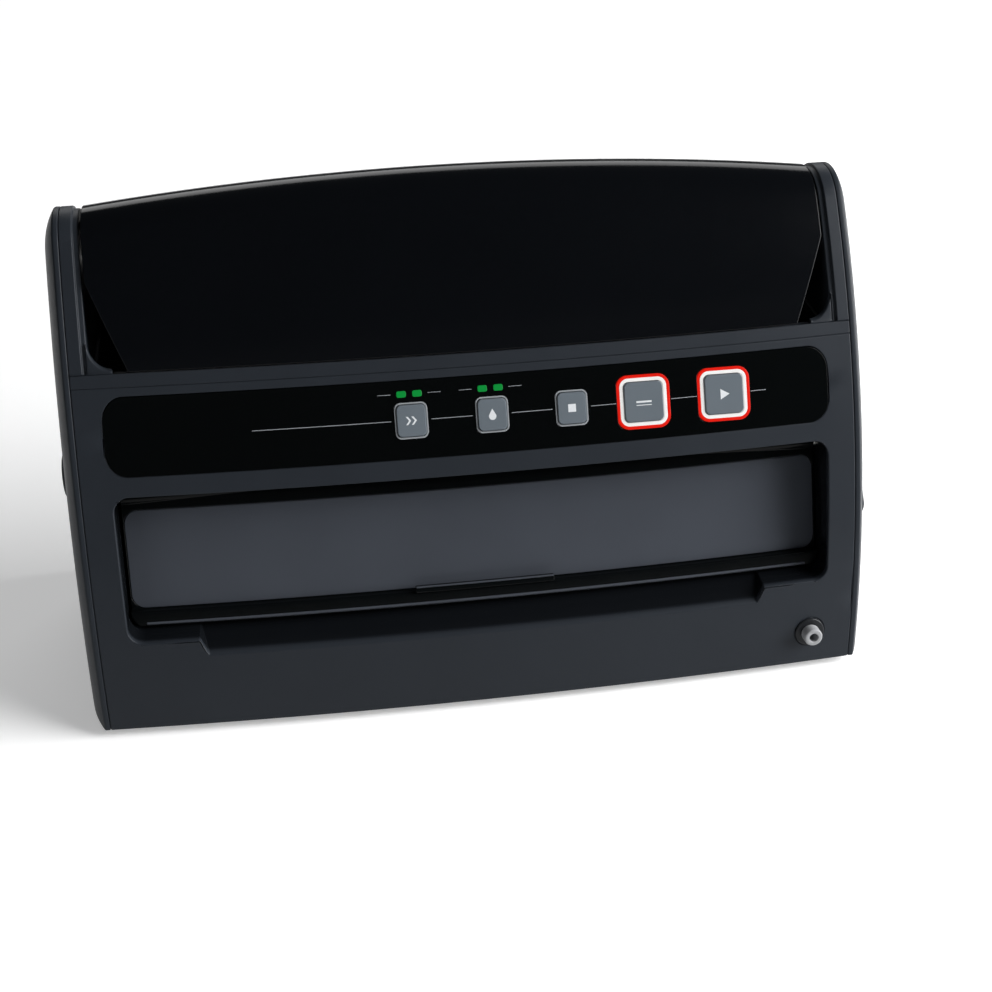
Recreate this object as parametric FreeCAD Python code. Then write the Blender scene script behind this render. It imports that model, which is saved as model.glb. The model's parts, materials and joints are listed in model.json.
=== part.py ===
import FreeCAD, Part
import math
import os
from FreeCAD import Vector

# Upright vacuum sealer: a bowed, leaning front with a bag door, a roll bay with
# a hinged lid above it, end covers, a latch shaft across the body and a pump inside.
# Millimetres. +X is to the right seen from the front, -Y is the front, +Z is up.
# Sizes below are drawn from the front's own datum. The finished pieces are moved
# back by ORIGIN_Y, so that the origin lies on the counter under the overall middle.
ORIGIN_Y = 3.8

# Driving dimensions of the body
BODY_HALF = 210.0            # half width of the front mouldings
COVER_HALF = 219.5           # half width over the end covers
FOOT_HEIGHT = 4.0
BOTTOM_Z = 5.0               # lower edge of the front moulding
SEAM_Z = 183.0               # parting line of front and upper mouldings
BACK_Y = 88.0                # flat back
BOW_RADIUS = 3550.0          # plan bow of the whole front
FRONT_RADIUS = 450.0         # side profile of the leaning front
FRONT_CENTRE_Y = 368.1
FRONT_CENTRE_Z = -53.7
CROWN_RADIUS = 28.0          # rounding from the front over to the back
CROWN_LEAN = 41.5            # lean in degrees where the rounding starts at the ends
CROWN_LEAN_MID = 43.4        # the same at mid width, which domes the lid
WALL = 3.0

# Roll bay and lid
BAY_HALF = 200.0
CHEEK_STEP = 3.0
CHEEK_INSET = 1.5
BAY_CORNER = 12.0            # rounding of the bay's lower corners
LID_HALF = 198.6
LID_WALL = 2.6
LID_FOOT_LEAN = 32.75        # lean in degrees at the lid's lower edge
LID_CORNER_HALF = 180.0      # half width of the lid's lower edge
LID_CORNER_Z = 228.0         # height where the cut corners reach the full width
LID_TAIL_Z = 216.0
LID_PIVOT_Y = 79.0
LID_PIVOT_Z = 236.0
LID_PIN_RADIUS = 2.2
REAR_WALL_TOP = 212.0
TROUGH_Y = 38.0
TROUGH_Z = 176.0
TROUGH_RADIUS = 38.0

# Control panel and buttons
PANEL_HALF = 195.0
PANEL_LOW = 142.3
PANEL_HIGH = 178.7
PANEL_CORNER = 11.0
PANEL_THICK = 2.4
PANEL_BACKING = 5.6
BUTTON_Z = 160.5
SMALL_BUTTON = 18.0
SMALL_BUTTON_X = {"speed_button": -35.7, "food_button": 7.5, "cancel_button": 50.6}
LARGE_BUTTON = 21.4
LARGE_BUTTON_X = {"seal_button": 90.2, "start_button": 135.2}
BUTTON_CORNER = 3.0
BUTTON_PROUD = 1.2
BUTTON_GAP = 0.35
BORDER = 0.9                 # pale border round each small button
RING_WHITE = 1.9             # lit inner ring of the two large buttons
RING_RED = 1.7               # lit outer ring of the two large buttons
LAMP_X = (-40.1, -31.7, 3.1, 11.6)
LAMP_Z = 172.8
LAMP_WIDTH = 5.0
LAMP_HEIGHT = 3.4
BOARD_DEPTH = 13.0
BOARD_X = 46.0
BOARD_PEG_X = 106.0           # pegs either side of the board's middle

# Bag door in its recess
RECESS_HALF = 194.0
RECESS_LOW = 56.0
RECESS_HIGH = 132.2
RECESS_CORNER = 8.0
RECESS_BACK = -6.0
RECESS_WALL = 2.5
DOOR_HALF = 192.6
DOOR_TOP = (-26.1, 115.7)    # y, z of the top of the door's face
DOOR_LEAN = 23.6             # lean of the door's face in degrees
DOOR_HEIGHT = 55.7
DOOR_PIVOT_DOWN = -7.6       # hinge axis in the door's own down and inward sizes
DOOR_PIVOT_IN = 6.6
DOOR_THICK = 5.0
DOOR_PIN_RADIUS = 2.5
FACING_THICK = 1.6
FACING_INSET = 1.0           # facing inside the door at its ends
FACING_CORNER = 7.0
BARREL_RADIUS = 3.8          # round hinge edge along the door's top
LIP_PROUD = 4.5
GASKET = 3.0
GASKET_GAP = 0.4
NOTCH_TOP_HALF = 157.0
NOTCH_LOW_HALF = 152.0
NOTCH_LOW = 46.5
GRIP_HALF = 38.6

# Vacuum chamber behind the door
CHAMBER_HALF = 170.0
CHAMBER_DEEP = 17.0
CHAMBER_TOP = 112.5
CHAMBER_PORT_X = -60.0
CHAMBER_STUB = 5.0
TUBE_RADIUS = 4.4
TUBE_BORE = 2.6
HEATER_HALF = 150.0

# Latch shaft, lever and hooks
LATCH_Y = 20.0
LATCH_Z = 114.0
SHAFT_RADIUS = 4.0
BEARING_INNER = 202.5
BEARING_OUTER = 213.5        # floor of the end cover's hollow
HOOK_X = 184.0
HOOK_THICK = 6.0
STRIKER_Y = -4.0
STRIKER_Z = 107.0
STRIKER_RADIUS = 1.8
CATCH_INNER = 174.5          # inner face of each catch arm
CATCH_THICK = 4.0
CATCH_NOSE = 4.2
HOOK_INNER = 29.8
HOOK_OUTER = 32.4
HOOK_TIP = 28.0              # degrees below the forward direction, door free
HOOK_TAIL = 104.0
LEVER_REACH = 62.0
LEVER_ANGLE = 50.0           # degrees below the forward direction
LEVER_HUB = 14.0
LEVER_GRIP = 8.5
LEVER_THICK = 6.0

# Accessory port
PORT_X = 185.0
PORT_Z = 25.0
PORT_SEAT_RADIUS = 8.6
PORT_SEAT_SUNK = 0.6
PORT_SEAT_PROUD = 1.4
NOZZLE_RADIUS = 5.2
NOZZLE_NECK = 4.6
NOZZLE_BORE = 2.6
NOZZLE_LENGTH = 8.0

# Cord gland on the back
GLAND_X = 160.0
GLAND_Z = 28.0

# Pump, motor and transformer on the base
PUMP_X = -96.0
PUMP_Y = 44.0
PUMP_Z = 46.0
MOTOR_RADIUS = 19.0
MOTOR_LENGTH = 58.0
TRANSFORMER_X = 96.0

RUN_FIT = 0.05
X_AXIS = Vector(1, 0, 0)
Y_AXIS = Vector(0, 1, 0)
Z_AXIS = Vector(0, 0, 1)


def box(x0, x1, y0, y1, z0, z1):
    return Part.makeBox(x1 - x0, y1 - y0, z1 - z0, Vector(x0, y0, z0))


def rod(radius, x0, x1, y, z):
    return Part.makeCylinder(radius, x1 - x0, Vector(x0, y, z), X_AXIS)


def post(radius, x, y, z0, z1):
    return Part.makeCylinder(radius, z1 - z0, Vector(x, y, z0), Z_AXIS)


def both_sides(shape):
    return shape.fuse(shape.mirror(Vector(0, 0, 0), X_AXIS))


def group(solids):
    return Part.makeCompound(list(solids))


def bow(x):
    """How far back the bowed front lies at a distance from mid width."""
    return BOW_RADIUS - math.sqrt(BOW_RADIUS ** 2 - x ** 2)


END_BOW = bow(BODY_HALF)


def skin(lean, depth=0.0):
    """y and z on the front's side profile at a lean, a depth under the surface."""
    angle = math.radians(lean)
    radius = FRONT_RADIUS - depth
    return FRONT_CENTRE_Y - radius * math.cos(angle), FRONT_CENTRE_Z + radius * math.sin(angle)


def lean_at(z, depth=0.0):
    return math.degrees(math.asin((z - FRONT_CENTRE_Z) / (FRONT_RADIUS - depth)))


def at_profile(pair, back=0.0, x=0.0):
    return Vector(x, pair[0] + back, pair[1])


def skin_arc(lean0, lean1, depth=0.0, back=0.0, x=0.0):
    middle = (lean0 + lean1) / 2
    points = [at_profile(skin(lean, depth), back, x) for lean in (lean0, middle, lean1)]
    return Part.Arc(*points).toShape()


def line(a, b):
    return Part.LineSegment(a, b).toShape()


def closed(edges):
    """Join open edges in order with straight lines into one face."""
    chain = []
    for index, edge in enumerate(edges):
        chain.append(edge)
        here = edge.valueAt(edge.LastParameter)
        following = edges[(index + 1) % len(edges)]
        there = following.valueAt(following.FirstParameter)
        if here.distanceToPoint(there) > 1e-6:
            chain.append(line(here, there))
    return Part.Wire(chain)


def polygon(pairs, x=0.0):
    points = [at_profile(pair, 0.0, x) for pair in pairs]
    return Part.Face(Part.makePolygon(points + points[:1]))


def prism(pairs, x0, x1):
    return polygon(pairs, x0).extrude(Vector(x1 - x0, 0, 0))


def bowed(face, half):
    """Turn a side profile about the far bow axis and trim it to a half width."""
    axis = Vector(0, BOW_RADIUS, 0)
    turn = 2 * math.degrees(math.asin((half + 20.0) / (BOW_RADIUS - BACK_Y)))
    start = face.copy()
    start.rotate(axis, Z_AXIS, -turn / 2)
    solid = start.revolve(axis, Z_AXIS, turn)
    return solid.common(box(-half, half, -200, 200, -50, 400))


def bowed_polygon(pairs, half):
    return bowed(polygon(pairs), half)


def skin_band(z0, z1, depth0, depth1, half):
    """A bowed band of the front between two heights and two depths."""
    outer = skin_arc(lean_at(z0, depth0), lean_at(z1, depth0), depth0)
    inner = skin_arc(lean_at(z1, depth1), lean_at(z0, depth1), depth1)
    return bowed(Part.Face(closed([outer, inner])), half)


def rounded_plate(half_x, half_y, corner, z0, z1):
    """A plate with rounded corners in its own x, y, from z0 to z1."""
    plate = box(-half_x, half_x, -half_y, half_y, z0, z1)
    edges = [edge for edge in plate.Edges if abs(edge.tangentAt(edge.FirstParameter).z) > 0.9]
    return plate.makeFillet(corner, edges)


def rounded_window(half_x, z0, z1, corner, y0, y1):
    """A prism along Y with rounded corners seen from the front."""
    plate = rounded_plate(half_x, (z1 - z0) / 2, corner, 0, y1 - y0)
    plate.rotate(Vector(0, 0, 0), X_AXIS, 90)
    plate.translate(Vector(0, y1, (z0 + z1) / 2))
    return plate


def on_front(shape, x, z):
    """Move a shape made on its own x, y with z outward onto the bowed front."""
    lean = lean_at(z)
    y_front = skin(lean)[0] + bow(x)
    placed = shape.copy()
    placed.rotate(Vector(0, 0, 0), X_AXIS, 90 - lean)
    placed.translate(Vector(x, y_front, z))
    return placed


def door_point(down, inward):
    """y and z from sizes measured down the door's face and inward from it."""
    lean = math.radians(DOOR_LEAN)
    y = DOOR_TOP[0] - down * math.sin(lean) + inward * math.cos(lean)
    z = DOOR_TOP[1] - down * math.cos(lean) - inward * math.sin(lean)
    return y, z


def door_strip(down0, down1, inward0, inward1, half):
    corners = [(down0, inward0), (down1, inward0), (down1, inward1), (down0, inward1)]
    return bowed_polygon([door_point(*corner) for corner in corners], half)


def crown(lean, inset=0.0, back=0.0, x=0.0):
    """Rounding arc from the front at a lean over the top to the vertical back."""
    centre = skin(lean, CROWN_RADIUS)
    radius = CROWN_RADIUS - inset
    angles = [math.radians(value) for value in (lean, (lean + 180.0) / 2, 180.0)]
    points = [Vector(x, centre[0] + back - radius * math.cos(a), centre[1] + radius * math.sin(a))
              for a in angles]
    return Part.Arc(*points).toShape()


def end_outline(x, inset=0.0, floor=BOTTOM_Z, floor_lift=0.0):
    """Closed side outline of the body at its ends, drawn in by an inset."""
    low = floor + floor_lift
    front = skin_arc(lean_at(low, inset), CROWN_LEAN, inset, END_BOW, x)
    over = crown(CROWN_LEAN, inset, END_BOW, x)
    back_top = over.valueAt(over.LastParameter)
    back_line = line(back_top, Vector(x, back_top.y, low))
    return closed([front, over, back_line])


def end_prism(x0, x1, inset=0.0, floor=BOTTOM_Z):
    return Part.Face(end_outline(x0, inset, floor)).extrude(Vector(x1 - x0, 0, 0))


def front_housing():
    shell = skin_band(BOTTOM_Z, SEAM_Z, 0, WALL, BODY_HALF)
    panel_backing = skin_band(PANEL_LOW - 4, SEAM_Z, 1, PANEL_BACKING, BODY_HALF)
    top_flange = bowed_polygon([(-14, SEAM_Z), (-16, SEAM_Z - WALL), (-9, SEAM_Z - WALL), (-9, SEAM_Z)],
                               BODY_HALF)
    floor_top = FOOT_HEIGHT + WALL
    bottom_flange = bowed_polygon([(-76, floor_top), (-76, floor_top + 2), (-66, floor_top + 2),
                                   (-66, floor_top)], BODY_HALF)
    frame = rounded_window(RECESS_HALF + WALL, RECESS_LOW - WALL, RECESS_HIGH + WALL, RECESS_CORNER,
                           -90, RECESS_BACK)
    ramp_bed = bowed_polygon([(-74, NOTCH_LOW - WALL), (-74, RECESS_LOW), (-40, RECESS_LOW),
                              (-40, RECESS_LOW - WALL)], NOTCH_TOP_HALF + WALL)
    # The recess frame and the ramp stop at the outer surface of the front.
    behind_front = skin_band(BOTTOM_Z, SEAM_Z, 0.5, 90, BODY_HALF)
    inner = frame.fuse(ramp_bed).common(behind_front)
    solid = shell.fuse([panel_backing, top_flange, bottom_flange, inner] + board_pegs())
    solid = solid.cut(rounded_window(RECESS_HALF, RECESS_LOW, RECESS_HIGH, RECESS_CORNER, -120,
                                     RECESS_BACK - RECESS_WALL))
    solid = solid.cut(box(-CHAMBER_HALF, CHAMBER_HALF, -60, 20, RECESS_LOW, CHAMBER_TOP))
    for side in (-1, 1):
        middle = side * (HOOK_X - 2.5)
        solid = solid.cut(box(middle - 8.5, middle + 8.5, -40, 20, LATCH_Z - 34, LATCH_Z + 16))
    solid = solid.cut(bag_ramp())
    solid = solid.cut(panel_outline(0.15).common(skin_band(BOTTOM_Z, SEAM_Z + 4, -3, PANEL_THICK, BODY_HALF)))
    for x in list(SMALL_BUTTON_X.values()) + list(LARGE_BUTTON_X.values()):
        half = LARGE_BUTTON / 2 + 2.4
        solid = solid.cut(on_front(rounded_plate(half, half, BUTTON_CORNER, -12, 1), x, BUTTON_Z))
    for x in LAMP_X:
        solid = solid.cut(on_front(rounded_plate(LAMP_WIDTH / 2, LAMP_HEIGHT / 2, 1.0, -12, 1), x, LAMP_Z))
    port_hole = Part.makeCylinder(PORT_SEAT_RADIUS - 2, 20, Vector(0, 0, -12))
    port_counterbore = Part.makeCylinder(PORT_SEAT_RADIUS + 0.1, 9, Vector(0, 0, -PORT_SEAT_SUNK))
    solid = solid.cut(on_front(port_hole.fuse(port_counterbore), PORT_X, PORT_Z))
    for side in (-1, 1):
        solid = solid.cut(rod(DOOR_PIN_RADIUS + RUN_FIT, RECESS_HALF * side - 8, RECESS_HALF * side + 8,
                              *door_pivot()))
    return solid.removeSplitter()


def board_pegs():
    """Stepped pegs behind the panel that carry the control board."""
    pegs = []
    for x in (-BOARD_PEG_X, BOARD_PEG_X):
        column = Part.makeCylinder(3.5, BOARD_DEPTH - 3, Vector(x, 0, -BOARD_DEPTH))
        pin = Part.makeCylinder(1.6, 4, Vector(x, 0, -BOARD_DEPTH - 3))
        pegs.append(on_front(column.fuse(pin), BOARD_X, BUTTON_Z))
    return pegs


def bag_ramp():
    """Wedge that lowers the recess's sill where the bag lies."""
    profile = [(-46, RECESS_LOW + 0.5), (-52, RECESS_LOW), (-72, NOTCH_LOW), (-100, NOTCH_LOW),
               (-100, RECESS_LOW + 0.5)]
    wedge = bowed_polygon(profile, NOTCH_TOP_HALF)
    corners = [Vector(-NOTCH_LOW_HALF, -120, NOTCH_LOW), Vector(NOTCH_LOW_HALF, -120, NOTCH_LOW),
               Vector(NOTCH_TOP_HALF, -120, RECESS_LOW + 1), Vector(-NOTCH_TOP_HALF, -120, RECESS_LOW + 1)]
    taper = Part.Face(Part.makePolygon(corners + corners[:1])).extrude(Vector(0, 120, 0))
    return wedge.common(taper)


def panel_outline(grow=0.0):
    return rounded_window(PANEL_HALF + grow, PANEL_LOW - grow, PANEL_HIGH + grow, PANEL_CORNER, -120, 40)


def control_panel():
    plate = skin_band(PANEL_LOW - 5, SEAM_Z + 4, -0.2, PANEL_THICK, BODY_HALF).common(panel_outline())
    for x in SMALL_BUTTON_X.values():
        half = SMALL_BUTTON / 2 + BORDER + BUTTON_GAP
        plate = plate.cut(on_front(rounded_plate(half, half, BUTTON_CORNER, -9, 9), x, BUTTON_Z))
    for x in LARGE_BUTTON_X.values():
        half = LARGE_BUTTON / 2 + RING_WHITE + RING_RED + BUTTON_GAP
        plate = plate.cut(on_front(rounded_plate(half, half, BUTTON_CORNER + 2, -9, 9), x, BUTTON_Z))
    for x in LAMP_X:
        plate = plate.cut(on_front(rounded_plate(LAMP_WIDTH / 2, LAMP_HEIGHT / 2, 1.0, -9, 9), x, LAMP_Z))
    return plate


def ring(inner_half, width, inner_corner, x, proud):
    foot = -PANEL_THICK + 0.6
    outer = rounded_plate(inner_half + width, inner_half + width, inner_corner + width, foot, proud)
    hole = rounded_plate(inner_half, inner_half, inner_corner, foot - 1, proud + 1)
    return on_front(outer.cut(hole), x, BUTTON_Z)


def button_borders():
    half = SMALL_BUTTON / 2 + BUTTON_GAP
    return group(ring(half, BORDER, BUTTON_CORNER, x, 0.35) for x in SMALL_BUTTON_X.values())


def white_light_rings():
    half = LARGE_BUTTON / 2 + BUTTON_GAP
    return group(ring(half, RING_WHITE, BUTTON_CORNER, x, 0.4) for x in LARGE_BUTTON_X.values())


def red_light_rings():
    half = LARGE_BUTTON / 2 + BUTTON_GAP + RING_WHITE
    corner = BUTTON_CORNER + RING_WHITE
    return group(ring(half, RING_RED, corner, x, 0.4) for x in LARGE_BUTTON_X.values())


def push_button(size, x):
    cap = rounded_plate(size / 2, size / 2, BUTTON_CORNER, -3.2, BUTTON_PROUD)
    rim = [edge for edge in cap.Edges if edge.CenterOfMass.z > BUTTON_PROUD - 0.01]
    cap = cap.makeFillet(0.6, rim)
    flange = rounded_plate(size / 2 + 1.2, size / 2 + 1.2, BUTTON_CORNER, -4.4, -3.2)
    stem = Part.makeCylinder(2.5, 2.6, Vector(0, 0, -7.0))
    return on_front(cap.fuse([flange, stem]).removeSplitter(), x, BUTTON_Z)


def indicator_lenses():
    lens = rounded_plate(LAMP_WIDTH / 2, LAMP_HEIGHT / 2, 1.0, -PANEL_BACKING, 0.4)
    return group(on_front(lens, x, LAMP_Z) for x in LAMP_X)


def control_board():
    board = rounded_plate(110, 16.5, 2.0, -BOARD_DEPTH - 1.6, -BOARD_DEPTH)
    for x in (-BOARD_PEG_X, BOARD_PEG_X):
        board = board.cut(Part.makeCylinder(1.65, 8, Vector(x, 0, -BOARD_DEPTH - 5)))
    chip = box(-52, -36, -6, 6, -BOARD_DEPTH - 4.2, -BOARD_DEPTH - 1.6)
    relay = box(-16, 3, -8, 8, -BOARD_DEPTH - 15, -BOARD_DEPTH - 1.6)
    return on_front(board.fuse([chip, relay]), BOARD_X, BUTTON_Z)


def tact_switches():
    lean = math.radians(lean_at(BUTTON_Z))
    switches = []
    for x in list(SMALL_BUTTON_X.values()) + list(LARGE_BUTTON_X.values()):
        board_face = -BOARD_DEPTH + (bow(x) - bow(BOARD_X)) * math.cos(lean)
        body = box(-3, 3, -3, 3, board_face, -9.4)
        plunger = Part.makeCylinder(1.6, 1.2, Vector(0, 0, -9.4))
        switches.append(on_front(body.fuse(plunger), x, BUTTON_Z))
    return group(switches)


def upper_housing():
    cheek = end_prism(BAY_HALF + CHEEK_STEP, BODY_HALF, 0, SEAM_Z)
    step = end_prism(BAY_HALF, BAY_HALF + CHEEK_STEP, CHEEK_INSET, SEAM_Z)
    cheeks = both_sides(cheek.fuse(step))
    ledge_top = LID_FOOT_LEAN - 0.06
    outer = skin_arc(lean_at(SEAM_Z), ledge_top)
    inner = skin_arc(ledge_top, lean_at(SEAM_Z, WALL), WALL)
    ledge = bowed(Part.Face(closed([outer, inner])), BODY_HALF)
    shelf_front, shelf_z = skin(ledge_top, WALL)
    shelf = bowed_polygon([(shelf_front - 0.5, shelf_z - 1.2), (shelf_front + 9, SEAM_Z + 1.5),
                           (shelf_front + 9, SEAM_Z), (shelf_front - 3, SEAM_Z)], BODY_HALF)
    rear = box(-BODY_HALF, BODY_HALF, BACK_Y - WALL, BACK_Y, SEAM_Z, REAR_WALL_TOP)
    solid = cheeks.fuse([ledge, shelf, rear] + bay_corners())
    for side in (-1, 1):
        x = side * BAY_HALF
        solid = solid.cut(rod(LID_PIN_RADIUS + RUN_FIT, x - 5, x + 5, LID_PIVOT_Y, LID_PIVOT_Z))
    return solid.removeSplitter()


def bay_corners():
    """Rounded lower corners of the bay's mouth, between each cheek and the ledge."""
    ledge_z = skin(LID_FOOT_LEAN)[1]
    band = skin_band(SEAM_Z + 1, ledge_z + BAY_CORNER, CHEEK_INSET, WALL + CHEEK_INSET, BODY_HALF)
    corners = []
    for side in (-1, 1):
        x = side * (BAY_HALF - BAY_CORNER)
        span = sorted((x, side * (BAY_HALF + 1)))
        block = band.common(box(span[0], span[1], -100, 100, SEAM_Z, ledge_z + BAY_CORNER))
        rounding = Part.makeCylinder(BAY_CORNER, 200, Vector(x, -100, ledge_z + BAY_CORNER), Y_AXIS)
        corners.append(block.cut(rounding))
    return corners


def lid_section(x, outer_inset, inner_inset):
    reach = x / LID_HALF
    lean = CROWN_LEAN_MID - (CROWN_LEAN_MID - CROWN_LEAN) * reach ** 2
    back = bow(x)
    outer_front = skin_arc(LID_FOOT_LEAN, lean, outer_inset, back, x)
    outer_top = crown(lean, outer_inset, back, x)
    outer_end = outer_top.valueAt(outer_top.LastParameter)
    tail = line(outer_end, Vector(x, outer_end.y, LID_TAIL_Z))
    inner_top = crown(lean, inner_inset, back, x)
    inner_end = inner_top.valueAt(inner_top.LastParameter)
    tail_inside = line(Vector(x, inner_end.y, LID_TAIL_Z), inner_end)
    inner_over = crown_back(lean, inner_inset, back, x)
    inner_front = skin_arc(lean, LID_FOOT_LEAN, inner_inset, back, x)
    return closed([outer_front, outer_top, tail, tail_inside, inner_over, inner_front])


def crown_back(lean, inset, back, x):
    """The crown arc drawn the other way, from the back to the front."""
    over = crown(lean, inset, back, x)
    middle = (over.FirstParameter + over.LastParameter) / 2
    points = [over.valueAt(value) for value in (over.LastParameter, middle, over.FirstParameter)]
    return Part.Arc(*points).toShape()


def storage_lid():
    stations = [LID_HALF * share for share in (-1, -0.5, 0, 0.5, 1)]
    shell = Part.makeLoft([lid_section(x, 0, LID_WALL) for x in stations], True, False)
    end_web = Part.Face(lid_section(LID_HALF, 0.4, 9.0)).extrude(Vector(-2.4, 0, 0))
    knuckle = rod(4.4, LID_HALF - 8, LID_HALF, LID_PIVOT_Y, LID_PIVOT_Z)
    solid = shell.fuse(both_sides(end_web.fuse(knuckle)))
    low = skin(LID_FOOT_LEAN)[1] - 20
    for side in (-1, 1):
        corner = [Vector(side * LID_CORNER_HALF, -60, low), Vector(side * (LID_HALF + 2), -60, low),
                  Vector(side * (LID_HALF + 2), -60, LID_CORNER_Z), Vector(side * LID_HALF, -60, LID_CORNER_Z),
                  Vector(side * LID_CORNER_HALF, -60, low + 20)]
        wedge = Part.Face(Part.makePolygon(corner + corner[:1])).extrude(Vector(0, 105, 0))
        solid = solid.cut(wedge)
        solid = solid.cut(rod(LID_PIN_RADIUS, side * LID_HALF - 9, side * LID_HALF + 9, LID_PIVOT_Y, LID_PIVOT_Z))
    return solid.removeSplitter()


def lid_hinge_pins():
    return group(rod(LID_PIN_RADIUS, side * LID_HALF - 4.5 + side * 1.0, side * LID_HALF + 4.5 + side * 1.0,
                     LID_PIVOT_Y, LID_PIVOT_Z) for side in (-1, 1))


def roll_trough():
    """Curved bed for the bag roll, open at the top, closed at both ends."""
    outer_r = TROUGH_RADIUS + 2.2
    bed = rod(outer_r, -BAY_HALF, BAY_HALF, TROUGH_Y, TROUGH_Z)
    rise = box(-BAY_HALF, BAY_HALF, TROUGH_Y - outer_r, TROUGH_Y + outer_r, TROUGH_Z, SEAM_Z)
    hollow = rod(TROUGH_RADIUS, -BAY_HALF + 2.2, BAY_HALF - 2.2, TROUGH_Y, TROUGH_Z)
    well = box(-BAY_HALF + 2.2, BAY_HALF - 2.2, TROUGH_Y - TROUGH_RADIUS, TROUGH_Y + TROUGH_RADIUS,
               TROUGH_Z, SEAM_Z + 30)
    cap = box(-BAY_HALF, BAY_HALF, -100, 200, SEAM_Z, SEAM_Z + 60)
    rim = box(-BAY_HALF, BAY_HALF, TROUGH_Y + outer_r, BACK_Y - WALL, SEAM_Z - 2.2, SEAM_Z)
    return bed.fuse([rise, rim]).cut(cap).cut(hollow).cut(well).removeSplitter()


def rear_cover():
    plate = box(-BODY_HALF, BODY_HALF, BACK_Y - WALL, BACK_Y, BOTTOM_Z, SEAM_Z)
    edges = [edge for edge in plate.Edges if edge.CenterOfMass.y > BACK_Y - 0.1
             and abs(edge.tangentAt(edge.FirstParameter).z) > 0.9]
    plate = plate.makeFillet(2.0, edges)
    flange = both_sides(box(BODY_HALF - 4, BODY_HALF - 1.5, BACK_Y - 14, BACK_Y - WALL, BOTTOM_Z + 4, SEAM_Z - 4))
    solid = plate.fuse(flange)
    # Cooling slots over the pump and over the transformer
    for x_mid in (PUMP_X, TRANSFORMER_X):
        for row in range(7):
            slot = rounded_window(22, 0, 3.2, 1.5, BACK_Y - 20, BACK_Y + 5)
            slot.translate(Vector(x_mid, 0, 40 + row * 8))
            solid = solid.cut(slot)
    solid = solid.cut(Part.makeCylinder(7.0, 20, Vector(GLAND_X, BACK_Y - 10, GLAND_Z), Y_AXIS))
    for x, z in rear_screw_places():
        solid = solid.cut(Part.makeCylinder(1.6, 20, Vector(x, BACK_Y - 10, z), Y_AXIS))
        solid = solid.cut(Part.makeCylinder(3.4, 4, Vector(x, BACK_Y - 1.6, z), Y_AXIS))
    return solid


def cord_gland():
    flange = Part.makeCylinder(9.5, 2.5, Vector(GLAND_X, BACK_Y, GLAND_Z), Y_AXIS)
    neck = Part.makeCylinder(6.9, 9, Vector(GLAND_X, BACK_Y - 7, GLAND_Z), Y_AXIS)
    hole = Part.makeCylinder(3.6, 30, Vector(GLAND_X, BACK_Y - 15, GLAND_Z), Y_AXIS)
    return flange.fuse(neck).cut(hole).removeSplitter()


def rear_screw_places():
    return [(x, z) for x in (-190.0, 0.0, 190.0) for z in (20.0, 168.0)]


def screw(radius, length):
    head = Part.makeCylinder(radius * 2, 1.5)
    shank = Part.makeCylinder(radius, length, Vector(0, 0, -length))
    cross = box(-1.6, 1.6, -0.35, 0.35, 0.7, 2).fuse(box(-0.35, 0.35, -1.6, 1.6, 0.7, 2))
    return head.fuse(shank).cut(cross).removeSplitter()


def rear_screws():
    screws = []
    for x, z in rear_screw_places():
        one = screw(1.6, 6)
        one.rotate(Vector(0, 0, 0), X_AXIS, -90)
        one.translate(Vector(x, BACK_Y - 1.6, z))
        screws.append(one)
    return group(screws)


def foot_places():
    return [(x, y) for x in (-178.0, 178.0) for y in (-46.0, 66.0)]


def base_screw_places():
    return [(x, y) for x in (-150.0, 0.0, 150.0) for y in (-52.0, 74.0)]


def base_plate():
    floor = bowed_polygon([(-74.4, FOOT_HEIGHT), (-74.4, FOOT_HEIGHT + 3), (130, FOOT_HEIGHT + 3),
                           (130, FOOT_HEIGHT)], BODY_HALF - 0.3)
    solid = floor.common(box(-300, 300, -200, BACK_Y - WALL - 0.2, 0, 50))
    for x in (-150, -50, 50, 150):
        solid = solid.fuse(box(x - 1, x + 1, -60, 80, FOOT_HEIGHT + 3, FOOT_HEIGHT + 7))
    for y in (-30, 20):
        solid = solid.fuse(box(-195, 195, y - 1, y + 1, FOOT_HEIGHT + 3, FOOT_HEIGHT + 7))
    for x, y in foot_places():
        solid = solid.cut(post(4.0, x, y, FOOT_HEIGHT - 1, FOOT_HEIGHT + 10))
    for x, y in base_screw_places():
        solid = solid.cut(post(1.6, x, y, 0, 40))
        solid = solid.cut(post(3.4, x, y, 0, FOOT_HEIGHT + 1.6))
    return solid.removeSplitter()


def rubber_feet():
    feet = []
    for x, y in foot_places():
        pad = Part.makeCone(8.0, 9.5, FOOT_HEIGHT, Vector(x, y, 0))
        plug = post(4.0, x, y, FOOT_HEIGHT, FOOT_HEIGHT + 3.0)
        feet.append(pad.fuse(plug).removeSplitter())
    return group(feet)


def base_screws():
    screws = []
    for x, y in base_screw_places():
        one = screw(1.6, 9)
        one.rotate(Vector(0, 0, 0), X_AXIS, 180)
        one.translate(Vector(x, y, FOOT_HEIGHT + 1.6))
        screws.append(one)
    return group(screws)


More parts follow.
